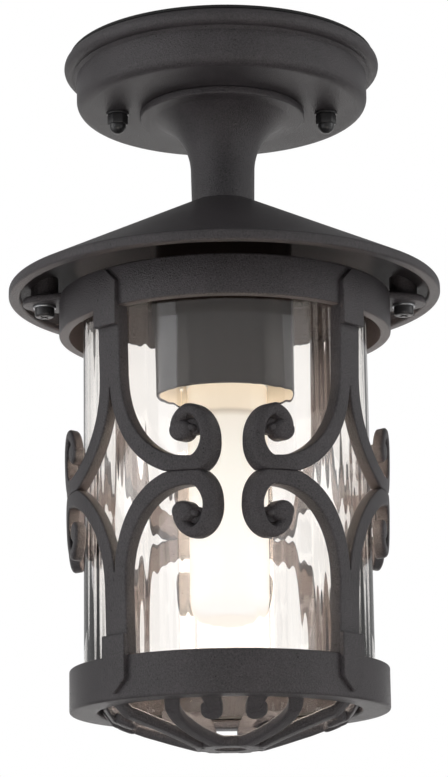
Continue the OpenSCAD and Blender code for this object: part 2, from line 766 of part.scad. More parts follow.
module heart_half() {
    half = [for (p = heart_line) grille_bar / 2];
    polygon(concat(side_points(heart_line, half), reverse(side_points(heart_line, -half))));
    hull() {
        translate(heart_end + [0, 0.9]) circle(r = 4.2, $fn = 32);
        translate(heart_end + [-1, 2]) circle(r = 4, $fn = 32);
    }
}

// Dome of four hearts round a drilled hub, with the lobes resting on the bottom ring's ledge
module bottom_grille() {
    hub_z = foot_end_z - grille_drop;
    edge_r = mouth_r - 0.2;
    edge_z = foot_end_z - 1.6;
    tab_r = mouth_r + 4.4;
    color([0.2, 0.2, 0.21])
    intersection() {
        difference() {
            translate([0, 0, hub_z - cut]) linear_extrude(grille_drop + 20) {
                circle(r = hub_r, $fn = 77);
                for (k = [0:3], m = [0, 1]) rotate(90 * k) mirror([0, m]) heart_half();
            }
            translate([0, 0, hub_z - 2 * cut]) cylinder(r = hub_hole_r, h = 20);
        }
        rotate_extrude($fn = 144) polygon([[0, hub_z], [hub_r - 0.9, hub_z],
            [hub_r + 0.35 * (edge_r - hub_r), hub_z + 0.28 * (edge_z - hub_z)],
            [hub_r + 0.65 * (edge_r - hub_r), hub_z + 0.56 * (edge_z - hub_z)],
            [hub_r + 0.9 * (edge_r - hub_r), hub_z + 0.85 * (edge_z - hub_z)],
            [edge_r, edge_z], [edge_r, ledge_z], [tab_r, ledge_z], [tab_r, ledge_z + tab_t],
            [edge_r - 5, ledge_z + tab_t],
            [hub_r + 0.65 * (edge_r - hub_r), hub_z + 0.56 * (edge_z - hub_z) + grille_t],
            [hub_r - 1.4, hub_z + grille_t], [0, hub_z + grille_t]]);
    }
}

module glass_cylinder() {
    color([0.85, 0.9, 0.92, 0.4])
    rotate_extrude() translate([glass_r - glass_t, glass_end_z])
        square([glass_t, ring_z - glass_end_z]);
}

module glass_seal_top() {
    color("whitesmoke")
    rotate_extrude() polygon([[glass_r - glass_t, ring_z + 0.02], [glass_r + 0.05, ring_z + 0.02],
        [glass_r + 0.05, ring_z - ring_flange_t], [flange_in_r - 0.05, ring_z - ring_flange_t],
        [flange_in_r - 0.05, ring_z + 1.4], [glass_r - glass_t, ring_z + 1.4]]);
}

module glass_seal_bottom() {
    color("whitesmoke")
    rotate_extrude() translate([glass_r - glass_t - 0.6, ledge_z + tab_t])
        square([glass_t + 1.2, seal_t]);
}

module ear_washers() {
    color("silver")
    for (s = [-1, 1]) translate([s * ear_x, 0, ring_z - ear_t - m5_washer_t]) difference() {
        cylinder(r = m5_washer_r, h = m5_washer_t, $fn = 48);
        translate([0, 0, -cut]) cylinder(r = m5_hole_r, h = m5_washer_t + 2 * cut, $fn = 48);
    }
}

// Pan head screw with a cross recess, from below through the ear into the roof's boss
module ear_screw(s) {
    head_z = ring_z - ear_t - m5_washer_t - turn_gap;
    color([0.25, 0.25, 0.26])
    translate([s * ear_x, 0, head_z]) difference() {
        union() {
            rotate_extrude($fn = 48) polygon(concat([[0, 0], [m5_head_r, 0]],
                arc(m5_head_r - 1.2, -m5_head_h + 1.2, 1.2, 0, -90, 5), [[0, -m5_head_h]]));
            cylinder(r = m5_r, h = m5_washer_t + ear_t + 7.5, $fn = 48);
        }
        for (a = [45, 135]) rotate([0, 0, a]) translate([-2.4, -0.5, -m5_head_h - cut])
            cube([4.8, 1, 1.6 + cut]);
    }
}

ceiling_gasket();
mounting_strap();
strap_studs();
ceiling_rose();
nut_washers();
dome_nut(-1);  // dome_nut_left
dome_nut(1);  // dome_nut_right
terminal_block();
terminal_screws();
terminal_fixing_screw();
earth_screw();
lead_live();
lead_neutral();
lead_earth();
stem();
threaded_tube();
top_washer();
top_nut();
roof();
lamp_shroud();
bottom_washer();
bottom_nut();
lampholder_cap();
lampholder_skirt();
contact_insert();
screw_shell();
centre_contact();
lamp_tube();
lamp_collar();
lamp_cap();
lamp_insulator();
lamp_tip();
top_ring();
bottom_ring();
post(0);  // post_front_right
post(1);  // post_back_right
post(2);  // post_back_left
post(3);  // post_front_left
bottom_grille();
glass_cylinder();
glass_seal_top();
glass_seal_bottom();
ear_washers();
ear_screw(-1);  // ear_screw_left
ear_screw(1);  // ear_screw_right
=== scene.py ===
from math import asin, atan2, cos, degrees, pi, radians, sin, sqrt, tan

import bmesh
import bpy
from mathutils import Matrix, Vector


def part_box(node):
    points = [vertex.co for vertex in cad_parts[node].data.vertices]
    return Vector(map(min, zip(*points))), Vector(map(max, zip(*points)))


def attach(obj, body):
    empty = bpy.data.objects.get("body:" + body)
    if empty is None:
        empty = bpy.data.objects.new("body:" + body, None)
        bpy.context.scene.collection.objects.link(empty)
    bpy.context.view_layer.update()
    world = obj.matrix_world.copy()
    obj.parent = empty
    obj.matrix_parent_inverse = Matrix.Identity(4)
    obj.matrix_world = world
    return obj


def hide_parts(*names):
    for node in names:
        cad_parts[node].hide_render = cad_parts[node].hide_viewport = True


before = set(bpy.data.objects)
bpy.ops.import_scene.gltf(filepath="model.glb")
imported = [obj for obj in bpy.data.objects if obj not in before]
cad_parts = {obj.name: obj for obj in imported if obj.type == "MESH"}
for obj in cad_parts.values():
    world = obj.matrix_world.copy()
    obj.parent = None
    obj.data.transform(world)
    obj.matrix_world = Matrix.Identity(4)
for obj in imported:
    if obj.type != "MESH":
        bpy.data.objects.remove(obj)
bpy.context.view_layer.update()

# ---------------------------------------------------------------------------------------------
# Camera
# It stands about 1.15 m in front of the lantern and below it, and looks up along a slope, with
# a long lens and a slight roll, as the lantern was seen.
MM = 0.001
PHOTO_TALL = 777
PHOTO_LENS_PX = 2750
SENSOR = 36.0
camera_turn = radians(2.0)
camera_pitch = radians(13.6)
camera_roll = radians(0.8)
camera_spot = (-0.74 * MM, -1152.4 * MM, -428.5 * MM)

camera_data = bpy.data.cameras.new("camera")
camera_data.sensor_width = SENSOR
camera_data.lens = SENSOR * PHOTO_LENS_PX / PHOTO_TALL
camera = bpy.data.objects.new("camera", camera_data)
bpy.context.scene.collection.objects.link(camera)
camera.matrix_world = (
    Matrix.Rotation(-camera_turn, 4, "Z")
    @ Matrix.Translation(camera_spot)
    @ Matrix.Rotation(radians(90) + camera_pitch, 4, "X")
    @ Matrix.Rotation(-camera_roll, 4, "Z")
)
bpy.context.scene.camera = camera

# ---------------------------------------------------------------------------------------------
# Floor, light and white surroundings
# A pale floor lies well below and is clear from underneath. Soft boxes stand left, right, low in front
# and behind, and one hangs high in front. The world is white where it is seen straight or through
# glass, and partly white in gloss. Elsewhere it fades from below upwards, like a lit room.
sky_low = -0.3
sky_high = 0.5
sky_low_light = 0.36
sky_high_light = 0.04
sky_gloss = 0.3
bpy.context.scene.view_settings.view_transform = "Standard"


def new_material(name):
    material = bpy.data.materials.new(name)
    material.use_nodes = True
    material.node_tree.nodes.clear()
    return material, material.node_tree


def add_node(tree, kind, **settings):
    node = tree.nodes.new(kind)
    for key, value in settings.items():
        if key in node.inputs:
            node.inputs[key].default_value = value
        else:
            setattr(node, key, value)
    return node


world = bpy.data.worlds.new("studio")
world.use_nodes = True
bpy.context.scene.world = world
world_tree = world.node_tree
world_tree.nodes.clear()
world_link = world_tree.links.new
world_out = add_node(world_tree, "ShaderNodeOutputWorld")
world_soft = add_node(world_tree, "ShaderNodeBackground", Color=(1, 1, 1, 1))
world_seen = add_node(world_tree, "ShaderNodeBackground", Color=(1, 1, 1, 1), Strength=1.0)
world_mix = add_node(world_tree, "ShaderNodeMixShader")
world_path = add_node(world_tree, "ShaderNodeLightPath")
world_any = add_node(world_tree, "ShaderNodeMath", operation="MAXIMUM")
world_link(world_path.outputs["Is Camera Ray"], world_any.inputs[0])
world_link(world_path.outputs["Is Transmission Ray"], world_any.inputs[1])
world_gloss = add_node(world_tree, "ShaderNodeMath", operation="MULTIPLY")
world_gloss.inputs[1].default_value = sky_gloss
world_share = add_node(world_tree, "ShaderNodeMath", operation="MAXIMUM")
world_link(world_path.outputs["Is Glossy Ray"], world_gloss.inputs[0])
world_link(world_gloss.outputs[0], world_share.inputs[0])
world_link(world_any.outputs[0], world_share.inputs[1])
world_link(world_share.outputs[0], world_mix.inputs[0])
world_link(world_soft.outputs[0], world_mix.inputs[1])
world_link(world_seen.outputs[0], world_mix.inputs[2])
world_link(world_mix.outputs[0], world_out.inputs[0])
world_way = add_node(world_tree, "ShaderNodeTexCoord")
world_axes = add_node(world_tree, "ShaderNodeSeparateXYZ")
world_fall = add_node(world_tree, "ShaderNodeMapRange")
world_fall.inputs["From Min"].default_value = sky_low
world_fall.inputs["From Max"].default_value = sky_high
world_fall.inputs["To Min"].default_value = sky_low_light
world_fall.inputs["To Max"].default_value = sky_high_light
world_link(world_way.outputs["Generated"], world_axes.inputs[0])
world_link(world_axes.outputs["Z"], world_fall.inputs["Value"])
world_link(world_fall.outputs["Result"], world_soft.inputs["Strength"])

floor_z = -0.95
floor_half = 3.0
floor_mesh = bpy.data.meshes.new("floor")
floor_bm = bmesh.new()
bmesh.ops.create_grid(floor_bm, x_segments=1, y_segments=1, size=floor_half)
bmesh.ops.translate(floor_bm, verts=floor_bm.verts, vec=(0, 0, floor_z))
floor_bm.to_mesh(floor_mesh)
floor_bm.free()
floor = bpy.data.objects.new("floor", floor_mesh)
bpy.context.scene.collection.objects.link(floor)
floor_material, floor_tree = new_material("floor_pale")
floor_link = floor_tree.links.new
floor_out = add_node(floor_tree, "ShaderNodeOutputMaterial")
floor_paint = add_node(floor_tree, "ShaderNodeBsdfPrincipled", Roughness=0.9)
floor_paint.inputs["Base Color"].default_value = (0.84, 0.84, 0.84, 1)
floor_side = add_node(floor_tree, "ShaderNodeNewGeometry")
floor_clear = add_node(floor_tree, "ShaderNodeBsdfTransparent")
floor_mix = add_node(floor_tree, "ShaderNodeMixShader")
floor_link(floor_side.outputs["Backfacing"], floor_mix.inputs[0])
floor_link(floor_paint.outputs[0], floor_mix.inputs[1])
floor_link(floor_clear.outputs[0], floor_mix.inputs[2])
floor_link(floor_mix.outputs[0], floor_out.inputs[0])
floor_mesh.materials.append(floor_material)


lantern_middle = Vector((0, 0, -0.16))


def soft_box(name, place, width, height, power, tint=(1, 1, 1)):
    data = bpy.data.lights.new(name, "AREA")
    data.shape = "RECTANGLE"
    data.size = width
    data.size_y = height
    data.energy = power
    data.color = tint
    light = bpy.data.objects.new(name, data)
    bpy.context.scene.collection.objects.link(light)
    light.location = place
    light.rotation_euler = (lantern_middle - Vector(place)).to_track_quat("-Z", "Y").to_euler()
    return light


soft_box("light_left", (-1.30, -0.20, -0.10), width=0.60, height=1.8, power=6.4)
soft_box("light_right", (1.30, -0.15, -0.10), width=0.60, height=1.8, power=5.8)
soft_box("light_left_front", (-1.00, -0.92, -0.10), width=0.32, height=1.6, power=2.4, tint=(0.93, 0.95, 1.0))
soft_box("light_right_front", (1.05, -0.85, -0.10), width=0.22, height=1.6, power=1.0, tint=(0.95, 0.96, 1.0))
soft_box("light_front", (0.10, -1.7, 1.25), width=1.2, height=0.6, power=2.8)
soft_box("light_below", (0.1, -0.95, -0.88), width=1.0, height=0.4, power=4.0, tint=(1.0, 0.93, 0.86))
light_back = soft_box("light_back", (0.0, 1.4, -0.42), width=1.8, height=0.7, power=3.2,
                      tint=(1.0, 0.97, 0.95))
light_back.visible_camera = False
light_back.visible_transmission = False

# ---------------------------------------------------------------------------------------------
# Ceiling rose
# A cast aluminium dish with a flared half-round rim, powder coated in a fine black texture. It
# hangs on two studs. The coat's grain and slow mottling come from one node group.
coat_dark = (0.013, 0.0115, 0.0125, 1)
coat_light = (0.085, 0.075, 0.081, 1)
grain_low = 0.32
grain_high = 0.68


def grain_group():
    group = bpy.data.node_groups.new("surface_grain", "ShaderNodeTree")
    face = group.interface
    for name, kind, value in (
        ("Dark", "NodeSocketColor", (0, 0, 0, 1)),
        ("Light", "NodeSocketColor", (1, 1, 1, 1)),
        ("Grain Scale", "NodeSocketFloat", 1500.0),
        ("Mottle Scale", "NodeSocketFloat", 40.0),
        ("Mottle Share", "NodeSocketFloat", 0.3),
        ("Rough Low", "NodeSocketFloat", 0.4),
        ("Rough High", "NodeSocketFloat", 0.6),
    ):
        socket = face.new_socket(name, in_out="INPUT", socket_type=kind)
        socket.default_value = value
    face.new_socket("Color", in_out="OUTPUT", socket_type="NodeSocketColor")
    face.new_socket("Roughness", in_out="OUTPUT", socket_type="NodeSocketFloat")
    face.new_socket("Height", in_out="OUTPUT", socket_type="NodeSocketFloat")
    start = group.nodes.new("NodeGroupInput")
    end = group.nodes.new("NodeGroupOutput")
    place = add_node(group, "ShaderNodeTexCoord")
    fine = add_node(group, "ShaderNodeTexNoise", Detail=3.0, Roughness=0.6)
    broad = add_node(group, "ShaderNodeTexNoise", Detail=2.0, Roughness=0.5)
    tone = add_node(group, "ShaderNodeMix", data_type="FLOAT")
    steep = add_node(group, "ShaderNodeMapRange")
    steep.inputs["From Min"].default_value = grain_low
    steep.inputs["From Max"].default_value = grain_high
    paint = add_node(group, "ShaderNodeMix", data_type="RGBA")
    rough = add_node(group, "ShaderNodeMix", data_type="FLOAT")
    link = group.links.new
    link(place.outputs["Object"], fine.inputs["Vector"])
    link(place.outputs["Object"], broad.inputs["Vector"])
    link(start.outputs["Grain Scale"], fine.inputs["Scale"])
    link(start.outputs["Mottle Scale"], broad.inputs["Scale"])
    link(start.outputs["Mottle Share"], tone.inputs[0])
    link(fine.outputs["Fac"], tone.inputs[2])
    link(broad.outputs["Fac"], tone.inputs[3])
    link(tone.outputs[0], steep.inputs["Value"])
    link(steep.outputs["Result"], paint.inputs[0])
    link(start.outputs["Dark"], paint.inputs[6])
    link(start.outputs["Light"], paint.inputs[7])
    link(steep.outputs["Result"], rough.inputs[0])
    link(start.outputs["Rough Low"], rough.inputs[2])
    link(start.outputs["Rough High"], rough.inputs[3])
    link(paint.outputs[2], end.inputs["Color"])
    link(rough.outputs[0], end.inputs["Roughness"])
    link(fine.outputs["Fac"], end.inputs["Height"])
    return group


surface_grain = grain_group()


def grained(name, dark, light, grain, mottle, share, rough, bump, metallic=0.0, **sockets):
    material, tree = new_material(name)
    out = add_node(tree, "ShaderNodeOutputMaterial")
    shader = add_node(tree, "ShaderNodeBsdfPrincipled")
    shader.inputs["Metallic"].default_value = metallic
    for key, value in sockets.items():
        shader.inputs[key.replace("_", " ")].default_value = value
    pattern = tree.nodes.new("ShaderNodeGroup")
    pattern.node_tree = surface_grain
    pattern.inputs["Dark"].default_value = dark
    pattern.inputs["Light"].default_value = light
    pattern.inputs["Grain Scale"].default_value = grain
    pattern.inputs["Mottle Scale"].default_value = mottle
    pattern.inputs["Mottle Share"].default_value = share
    pattern.inputs["Rough Low"].default_value = rough[0]
    pattern.inputs["Rough High"].default_value = rough[1]
    relief = add_node(tree, "ShaderNodeBump", Strength=1.0, Distance=bump)
    tree.links.new(pattern.outputs["Color"], shader.inputs["Base Color"])
    tree.links.new(pattern.outputs["Roughness"], shader.inputs["Roughness"])
    tree.links.new(pattern.outputs["Height"], relief.inputs["Height"])
    tree.links.new(relief.outputs["Normal"], shader.inputs["Normal"])
    tree.links.new(shader.outputs[0], out.inputs[0])
    return material


black_coat = grained("black_textured_coat", coat_dark, coat_light, grain=1700, mottle=60, share=0.2,
                     rough=(0.27, 0.48), bump=0.42 * MM)


def arc(centre_x, centre_z, radius, start, end, steps):
    turn = [radians(start + (end - start) * i / steps) for i in range(steps + 1)]
    return [(centre_x + radius * cos(a), centre_z + radius * sin(a)) for a in turn]


def spun(outline, closed=True, steps=160):
    bm = bmesh.new()
    verts = [bm.verts.new((x, 0, z)) for x, z in outline]
    edges = [bm.edges.new(pair) for pair in zip(verts, verts[1:])]
    if closed:
        edges.append(bm.edges.new((verts[-1], verts[0])))
    bmesh.ops.spin(bm, geom=verts + edges, cent=(0, 0, 0), axis=(0, 0, 1), dvec=(0, 0, 0),
                   angle=2 * pi, steps=steps, use_merge=True)
    bmesh.ops.remove_doubles(bm, verts=bm.verts, dist=1e-6)
    bmesh.ops.dissolve_degenerate(bm, edges=bm.edges, dist=1e-7)
    bmesh.ops.recalc_face_normals(bm, faces=bm.faces)
    return bm


def make_piece(name, bm, material, body, slot_name, nodes=(), sharp=35):
    mesh = bpy.data.meshes.new(name)
    bm.to_mesh(mesh)
    bm.free()
    mesh.shade_smooth()
    mesh.set_sharp_from_angle(angle=radians(sharp))
    mesh.materials.append(material)
    piece = bpy.data.objects.new(name, mesh)
    bpy.context.scene.collection.objects.link(piece)
    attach(piece, body)
    if nodes:
        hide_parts(*nodes)
    return piece


rose_low, rose_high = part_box("ceiling_rose")
rose_rim_r = rose_high.x
rose_wall_r = rose_rim_r - 5.5 * MM
rose_wall = 2.5 * MM
rose_top = rose_high.z
rose_bottom = rose_low.z
rose_corner = 5 * MM
bead = 3.5 * MM
bead_drop = 1.2 * MM
tube_bore = 5.2 * MM
rose_outline = (
    [(tube_bore, rose_bottom)]
    + arc(rose_wall_r - rose_corner, rose_bottom + rose_corner, rose_corner, -90, 0, 10)
    + [(rose_wall_r, rose_top - 2 * bead - bead_drop)]
    + arc(rose_rim_r - bead, rose_top - bead, bead, -100, 80, 16)
    + [(rose_rim_r - bead, rose_top), (rose_wall_r - rose_wall, rose_top),
       (rose_wall_r - rose_wall, rose_bottom + rose_wall), (tube_bore, rose_bottom + rose_wall)]
)
make_piece("ceiling_rose", spun(rose_outline), black_coat, "fixture", "black_coat", ["ceiling_rose"])

# ---------------------------------------------------------------------------------------------
# Stem
# A cast trumpet with the same black coat. Its neck stands on the flat top of the roof, and its upper
# end flares into a thin disc flange under the rose. The threaded tube runs through it.
stem_low, stem_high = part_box("stem")
neck_r = 14 * MM
neck_ease = 0.3 * MM
flange_r = stem_high.x
flange_t = 3.5 * MM
flange_edge = 0.8 * MM
flare_r = 26 * MM
flare_z = stem_low.z + flare_r * 0.58
flare_end = degrees(asin((stem_high.z - flange_t - flare_z) / flare_r))
stem_outline = (
    [(tube_bore, stem_low.z), (neck_r - neck_ease, stem_low.z)]
    + arc(neck_r + flare_r, flare_z, flare_r, 180, 180 - flare_end, 40)
    + arc(flange_r - flange_edge, stem_high.z - flange_t + flange_edge, flange_edge, -90, 0, 5)
    + arc(flange_r - flange_edge, stem_high.z - flange_edge, flange_edge, 0, 90, 5)
    + [(tube_bore, stem_high.z)]
)
make_piece("stem", spun(stem_outline), black_coat, "fixture", "black_coat", ["stem"])

# ---------------------------------------------------------------------------------------------
# Roof
# A shallow cast cone with a rounded brim and a lip turned down, hollow below, with a spacer in
# the middle for the shroud and two round bosses that take the cage screws.
roof_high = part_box("roof")[1]
roof_r = roof_high.x
roof_angle = radians(26.5)
roof_slope = tan(roof_angle)
roof_t = 3 * MM / cos(roof_angle)
roof_seat_r = neck_r + 0.5 * MM
brim_z = roof_high.z - (roof_r - roof_seat_r) * roof_slope
brim_edge = 1.5 * MM
lip_z = brim_z - 4 * MM
lip_in_r = roof_r - 5 * MM
lip_edge = 1.0 * MM
lip_ease = 0.6 * MM
spacer_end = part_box("lamp_shroud")[1].z + 0.05 * MM
ear_screw_low, ear_screw_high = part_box("ear_screw_right")
ear_x = (ear_screw_low.x + ear_screw_high.x) / 2


def roof_underside(r):
    return roof_high.z - (r - roof_seat_r) * roof_slope - roof_t


roof_outline = (
    [(tube_bore, roof_high.z), (roof_seat_r, roof_high.z)]
    + arc(roof_r - brim_edge, brim_z - brim_edge / 2, brim_edge, 63, 0, 6)
    + arc(roof_r - lip_edge, lip_z + lip_edge, lip_edge, 0, -90, 5)
    + arc(lip_in_r + lip_edge, lip_z + lip_edge, lip_edge, -90, -180, 5)
    + [(lip_in_r, roof_underside(lip_in_r) - lip_ease),
       (lip_in_r - lip_edge, roof_underside(lip_in_r - lip_edge)),
       (roof_seat_r, roof_underside(roof_seat_r)), (roof_seat_r, spacer_end), (tube_bore, spacer_end)]
)
roof_bm = spun(roof_outline)
boss_r = 6 * MM
boss_sunk = 1.5 * MM
boss_gap = 0.3 * MM
boss_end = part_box("top_ring")[1].z + boss_gap
boss_top = roof_underside(ear_x) + boss_sunk
for side in (-1, 1):
    boss = bmesh.ops.create_cone(roof_bm, cap_ends=True, segments=48, radius1=boss_r, radius2=boss_r,
                                 depth=boss_top - boss_end)
    bmesh.ops.translate(roof_bm, verts=boss["verts"], vec=(side * ear_x, 0, (boss_top + boss_end) / 2))
make_piece("roof", roof_bm, black_coat, "fixture", "black_coat", ["roof"])

# ---------------------------------------------------------------------------------------------
# Shroud
# A smooth black steel cup round the lampholder, open below, clamped under the roof. White enamel
# inside throws the lamp's light down.
shroud_low, shroud_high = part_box("lamp_shroud")
shroud_r = shroud_high.x
shroud_t = 1.6 * MM
shroud_corner = 2 * MM
satin_black = grained("shroud_satin_black", (0.012, 0.0078, 0.0070, 1), (0.017, 0.0115, 0.0100, 1), grain=900,
                      mottle=30, share=0.5, rough=(0.34, 0.42), bump=0.005 * MM, Specular_IOR_Level=0.28)
shroud_outline = (
    [(tube_bore, shroud_high.z)]
    + arc(shroud_r - shroud_corner, shroud_high.z - shroud_corner, shroud_corner, 90, 0, 8)
    + arc(shroud_r - shroud_t / 2, shroud_low.z + shroud_t / 2, shroud_t / 2, 0, -180, 8)
    + [(shroud_r - shroud_t, shroud_high.z - shroud_t), (tube_bore, shroud_high.z - shroud_t)]
)
make_piece("lamp_shroud", spun(shroud_outline), satin_black, "fixture", "black_shroud", ["lamp_shroud"])

white_enamel = grained("shroud_white_enamel", (0.70, 0.63, 0.50, 1), (0.80, 0.74, 0.62, 1), grain=350,
                       mottle=30, share=0.6, rough=(0.4, 0.55), bump=0.02 * MM)
enamel_out_r = shroud_r - shroud_t - 0.02 * MM
enamel_in_r = enamel_out_r - 0.3 * MM
enamel_low_z = shroud_low.z + 0.5 * MM
enamel_high_z = shroud_high.z - 4 * MM
enamel_outline = [(enamel_out_r, enamel_low_z), (enamel_out_r, enamel_high_z), (enamel_in_r, enamel_high_z),
                  (enamel_in_r, enamel_low_z)]
make_piece("shroud_enamel", spun(enamel_outline), white_enamel, "fixture", "white_plastic")

# ---------------------------------------------------------------------------------------------
# Lamp
# A lit lamp with an opal tube, a white collar and a screw cap with a rolled thread. Its glow has one
# level where it is seen, a higher one for what is close and the highest for what is far. Where it is
# seen, its colour carries painted shade: warmer and darker by the collar and towards the tube's sides.
opal_low, opal_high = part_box("lamp_tube")
lamp_r = opal_high.x
tip_r = 9 * MM
seen_level = 1.0
close_level = 2.3
far_level = 30.0
close_reach = 38 * MM
cast_tone = (1.0, 0.86, 0.72, 1)
middle_tone = (1.0, 1.0, 1.0, 1)
# Painted shade: where the lamp is seen, its glow darkens and warms towards the sides of the tube.
side_painted_shade = (0.76, 0.66, 0.54, 1)
side_shade_start = 0.30
# Painted shade along the tube: darker and warmer by the collar, a dark band just below it, then white.
collar_painted_shade = (0.79, 0.67, 0.51, 1)
tip_tone = (1.0, 0.98, 0.96, 1)
length_painted_shades = (
    (0.11, (0.79, 0.68, 0.53, 1)),
    (0.125, (0.50, 0.42, 0.33, 1)),
    (0.15, (0.82, 0.77, 0.69, 1)),
    (0.35, (0.92, 0.90, 0.83, 1)),
    (0.75, (1.0, 1.0, 0.99, 1)),
)
glow_material, glow_tree = new_material("lamp_glow")
glow_link = glow_tree.links.new
glow_out = add_node(glow_tree, "ShaderNodeOutputMaterial")
glow = add_node(glow_tree, "ShaderNodeBsdfPrincipled", Roughness=0.35)
glow.inputs["Base Color"].default_value = (0.20, 0.19, 0.17, 1)
# The painted shade on the tube's sides follows how far the surface faces away.
glow_edge = add_node(glow_tree, "ShaderNodeLayerWeight", Blend=0.35)
glow_side_shade = add_node(glow_tree, "ShaderNodeValToRGB")
glow_side_shade.color_ramp.elements[0].color = middle_tone
glow_side_shade.color_ramp.elements[1].color = side_painted_shade
glow_side_shade.color_ramp.elements[0].position = side_shade_start
glow_link(glow_edge.outputs["Facing"], glow_side_shade.inputs[0])
glow_place = add_node(glow_tree, "ShaderNodeTexCoord")
glow_axes = add_node(glow_tree, "ShaderNodeSeparateXYZ")
glow_height = add_node(glow_tree, "ShaderNodeMapRange")
glow_height.inputs["From Min"].default_value = opal_high.z
glow_height.inputs["From Max"].default_value = opal_low.z
# Down the tube the painted shade by the collar lightens towards the tip.
glow_length_shade = add_node(glow_tree, "ShaderNodeValToRGB")
glow_length_shade.color_ramp.elements[0].color = collar_painted_shade
glow_length_shade.color_ramp.elements[1].color = tip_tone
for place, tone in length_painted_shades:
    stop = glow_length_shade.color_ramp.elements.new(place)
    stop.color = tone
glow_shade = add_node(glow_tree, "ShaderNodeMix", data_type="RGBA", blend_type="MULTIPLY")
glow_shade.inputs[0].default_value = 1.0
glow_link(glow_place.outputs["Object"], glow_axes.inputs[0])
glow_link(glow_axes.outputs["Z"], glow_height.inputs["Value"])
glow_link(glow_height.outputs["Result"], glow_length_shade.inputs[0])
glow_link(glow_length_shade.outputs[0], glow_shade.inputs[6])
glow_link(glow_side_shade.outputs[0], glow_shade.inputs[7])
glow_path = add_node(glow_tree, "ShaderNodeLightPath")
glow_far = add_node(glow_tree, "ShaderNodeMath", operation="GREATER_THAN")
glow_far.inputs[1].default_value = close_reach
glow_cast = add_node(glow_tree, "ShaderNodeMix", data_type="FLOAT")
glow_cast.inputs[2].default_value = close_level
glow_cast.inputs[3].default_value = far_level
glow_way = add_node(glow_tree, "ShaderNodeMath", operation="MAXIMUM")
glow_first = add_node(glow_tree, "ShaderNodeMath", operation="LESS_THAN")
glow_first.inputs[1].default_value = 0.5
glow_seen = add_node(glow_tree, "ShaderNodeMath", operation="MULTIPLY")
glow_power = add_node(glow_tree, "ShaderNodeMix", data_type="FLOAT")
glow_power.inputs[3].default_value = seen_level
glow_tone = add_node(glow_tree, "ShaderNodeMix", data_type="RGBA")
glow_tone.inputs[6].default_value = cast_tone
glow_link(glow_path.outputs["Ray Length"], glow_far.inputs[0])
glow_link(glow_far.outputs[0], glow_cast.inputs[0])
glow_link(glow_path.outputs["Is Camera Ray"], glow_way.inputs[0])
glow_link(glow_path.outputs["Is Transmission Ray"], glow_way.inputs[1])
glow_link(glow_path.outputs["Diffuse Depth"], glow_first.inputs[0])
glow_link(glow_way.outputs[0], glow_seen.inputs[0])
glow_link(glow_first.outputs[0], glow_seen.inputs[1])
glow_link(glow_seen.outputs[0], glow_power.inputs[0])
glow_link(glow_cast.outputs[0], glow_power.inputs[2])
glow_link(glow_power.outputs[0], glow.inputs["Emission Strength"])
# Only where the lamp is seen does its colour carry the painted shade; elsewhere it casts the warm tone.
glow_link(glow_seen.outputs[0], glow_tone.inputs[0])
glow_link(glow_shade.outputs[2], glow_tone.inputs[7])
glow_link(glow_tone.outputs[2], glow.inputs["Emission Color"])
glow_link(glow.outputs[0], glow_out.inputs[0])
opal_outline = (
    [(0, opal_low.z)]
    + arc(lamp_r - tip_r, opal_low.z + tip_r, tip_r, -90, 0, 14)
    + [(lamp_r, opal_high.z), (0, opal_high.z)]
)
opal_bm = spun(opal_outline, closed=False, steps=96)
make_piece("lamp_tube", opal_bm, glow_material, "lamp", "opal", ["lamp_tube"])

white_plastic = grained("collar_white_plastic", (0.72, 0.72, 0.7, 1), (0.78, 0.78, 0.76, 1), grain=700,
                        mottle=40, share=0.5, rough=(0.35, 0.45), bump=0.02 * MM)
collar_low, collar_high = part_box("lamp_collar")
collar_top_r = 12.6 * MM
collar_edge = 1 * MM
collar_side = 2.2 * MM
collar_outline = (
    [(0, collar_high.z)]
    + arc(collar_top_r, collar_high.z - collar_edge, collar_edge, 90, 20, 5)
    + arc(collar_high.x - collar_edge, collar_low.z + collar_side, collar_edge, 20, 0, 3)
    + [(collar_high.x, collar_low.z), (0, collar_low.z)]
)
collar_bm = spun(collar_outline, closed=False, steps=96)
make_piece("lamp_collar", collar_bm, white_plastic, "lamp", "white_plastic", ["lamp_collar"])

bright_cap = grained("lamp_cap_metal", (0.6, 0.6, 0.6, 1), (0.75, 0.75, 0.75, 1), grain=500, mottle=60,
                     share=0.4, rough=(0.2, 0.35), bump=0.02 * MM, metallic=1.0)
cap_low, cap_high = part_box("lamp_cap")
cap_turns = 5
cap_steps = 40
cap_groove = 0.6 * MM
cap_side = [
    (cap_high.x - cap_groove * (1 - cos(2 * pi * cap_turns * i / cap_steps)) / 2,
     cap_low.z + (cap_high.z - cap_low.z) * i / cap_steps)
    for i in range(cap_steps + 1)
]
cap_bm = spun([(0, cap_low.z)] + cap_side + [(0, cap_high.z)], closed=False, steps=72)
make_piece("lamp_cap", cap_bm, bright_cap, "lamp", "lamp_metal", ["lamp_cap"])

# ---------------------------------------------------------------------------------------------
# Top ring
# A cast ring that the posts are riveted to, with an inner flange for the glass and a flat ear
# on each side that hangs from the roof's boss on a screw.
ring_low, ring_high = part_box("top_ring")
ring_r = ring_high.y
ring_wall = 4.3 * MM
flange_in_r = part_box("glass_cylinder")[1].x + 0.7 * MM
ring_flange_t = 3 * MM
ring_edge = 0.8 * MM
ring_outline = (
    arc(ring_r - ring_edge, ring_low.z + ring_edge, ring_edge, -90, 0, 4)
    + arc(ring_r - ring_edge, ring_high.z - ring_edge, ring_edge, 0, 90, 4)
    + [(flange_in_r, ring_high.z), (flange_in_r, ring_high.z - ring_flange_t),
       (ring_r - ring_wall, ring_high.z - ring_flange_t), (ring_r - ring_wall, ring_low.z)]
)
ring_bm = spun(ring_outline, steps=192)
ear_t = 3 * MM
ear_r = 9.6 * MM
ear_root = 13 * MM
ear_root_x = ring_r - 3 * MM
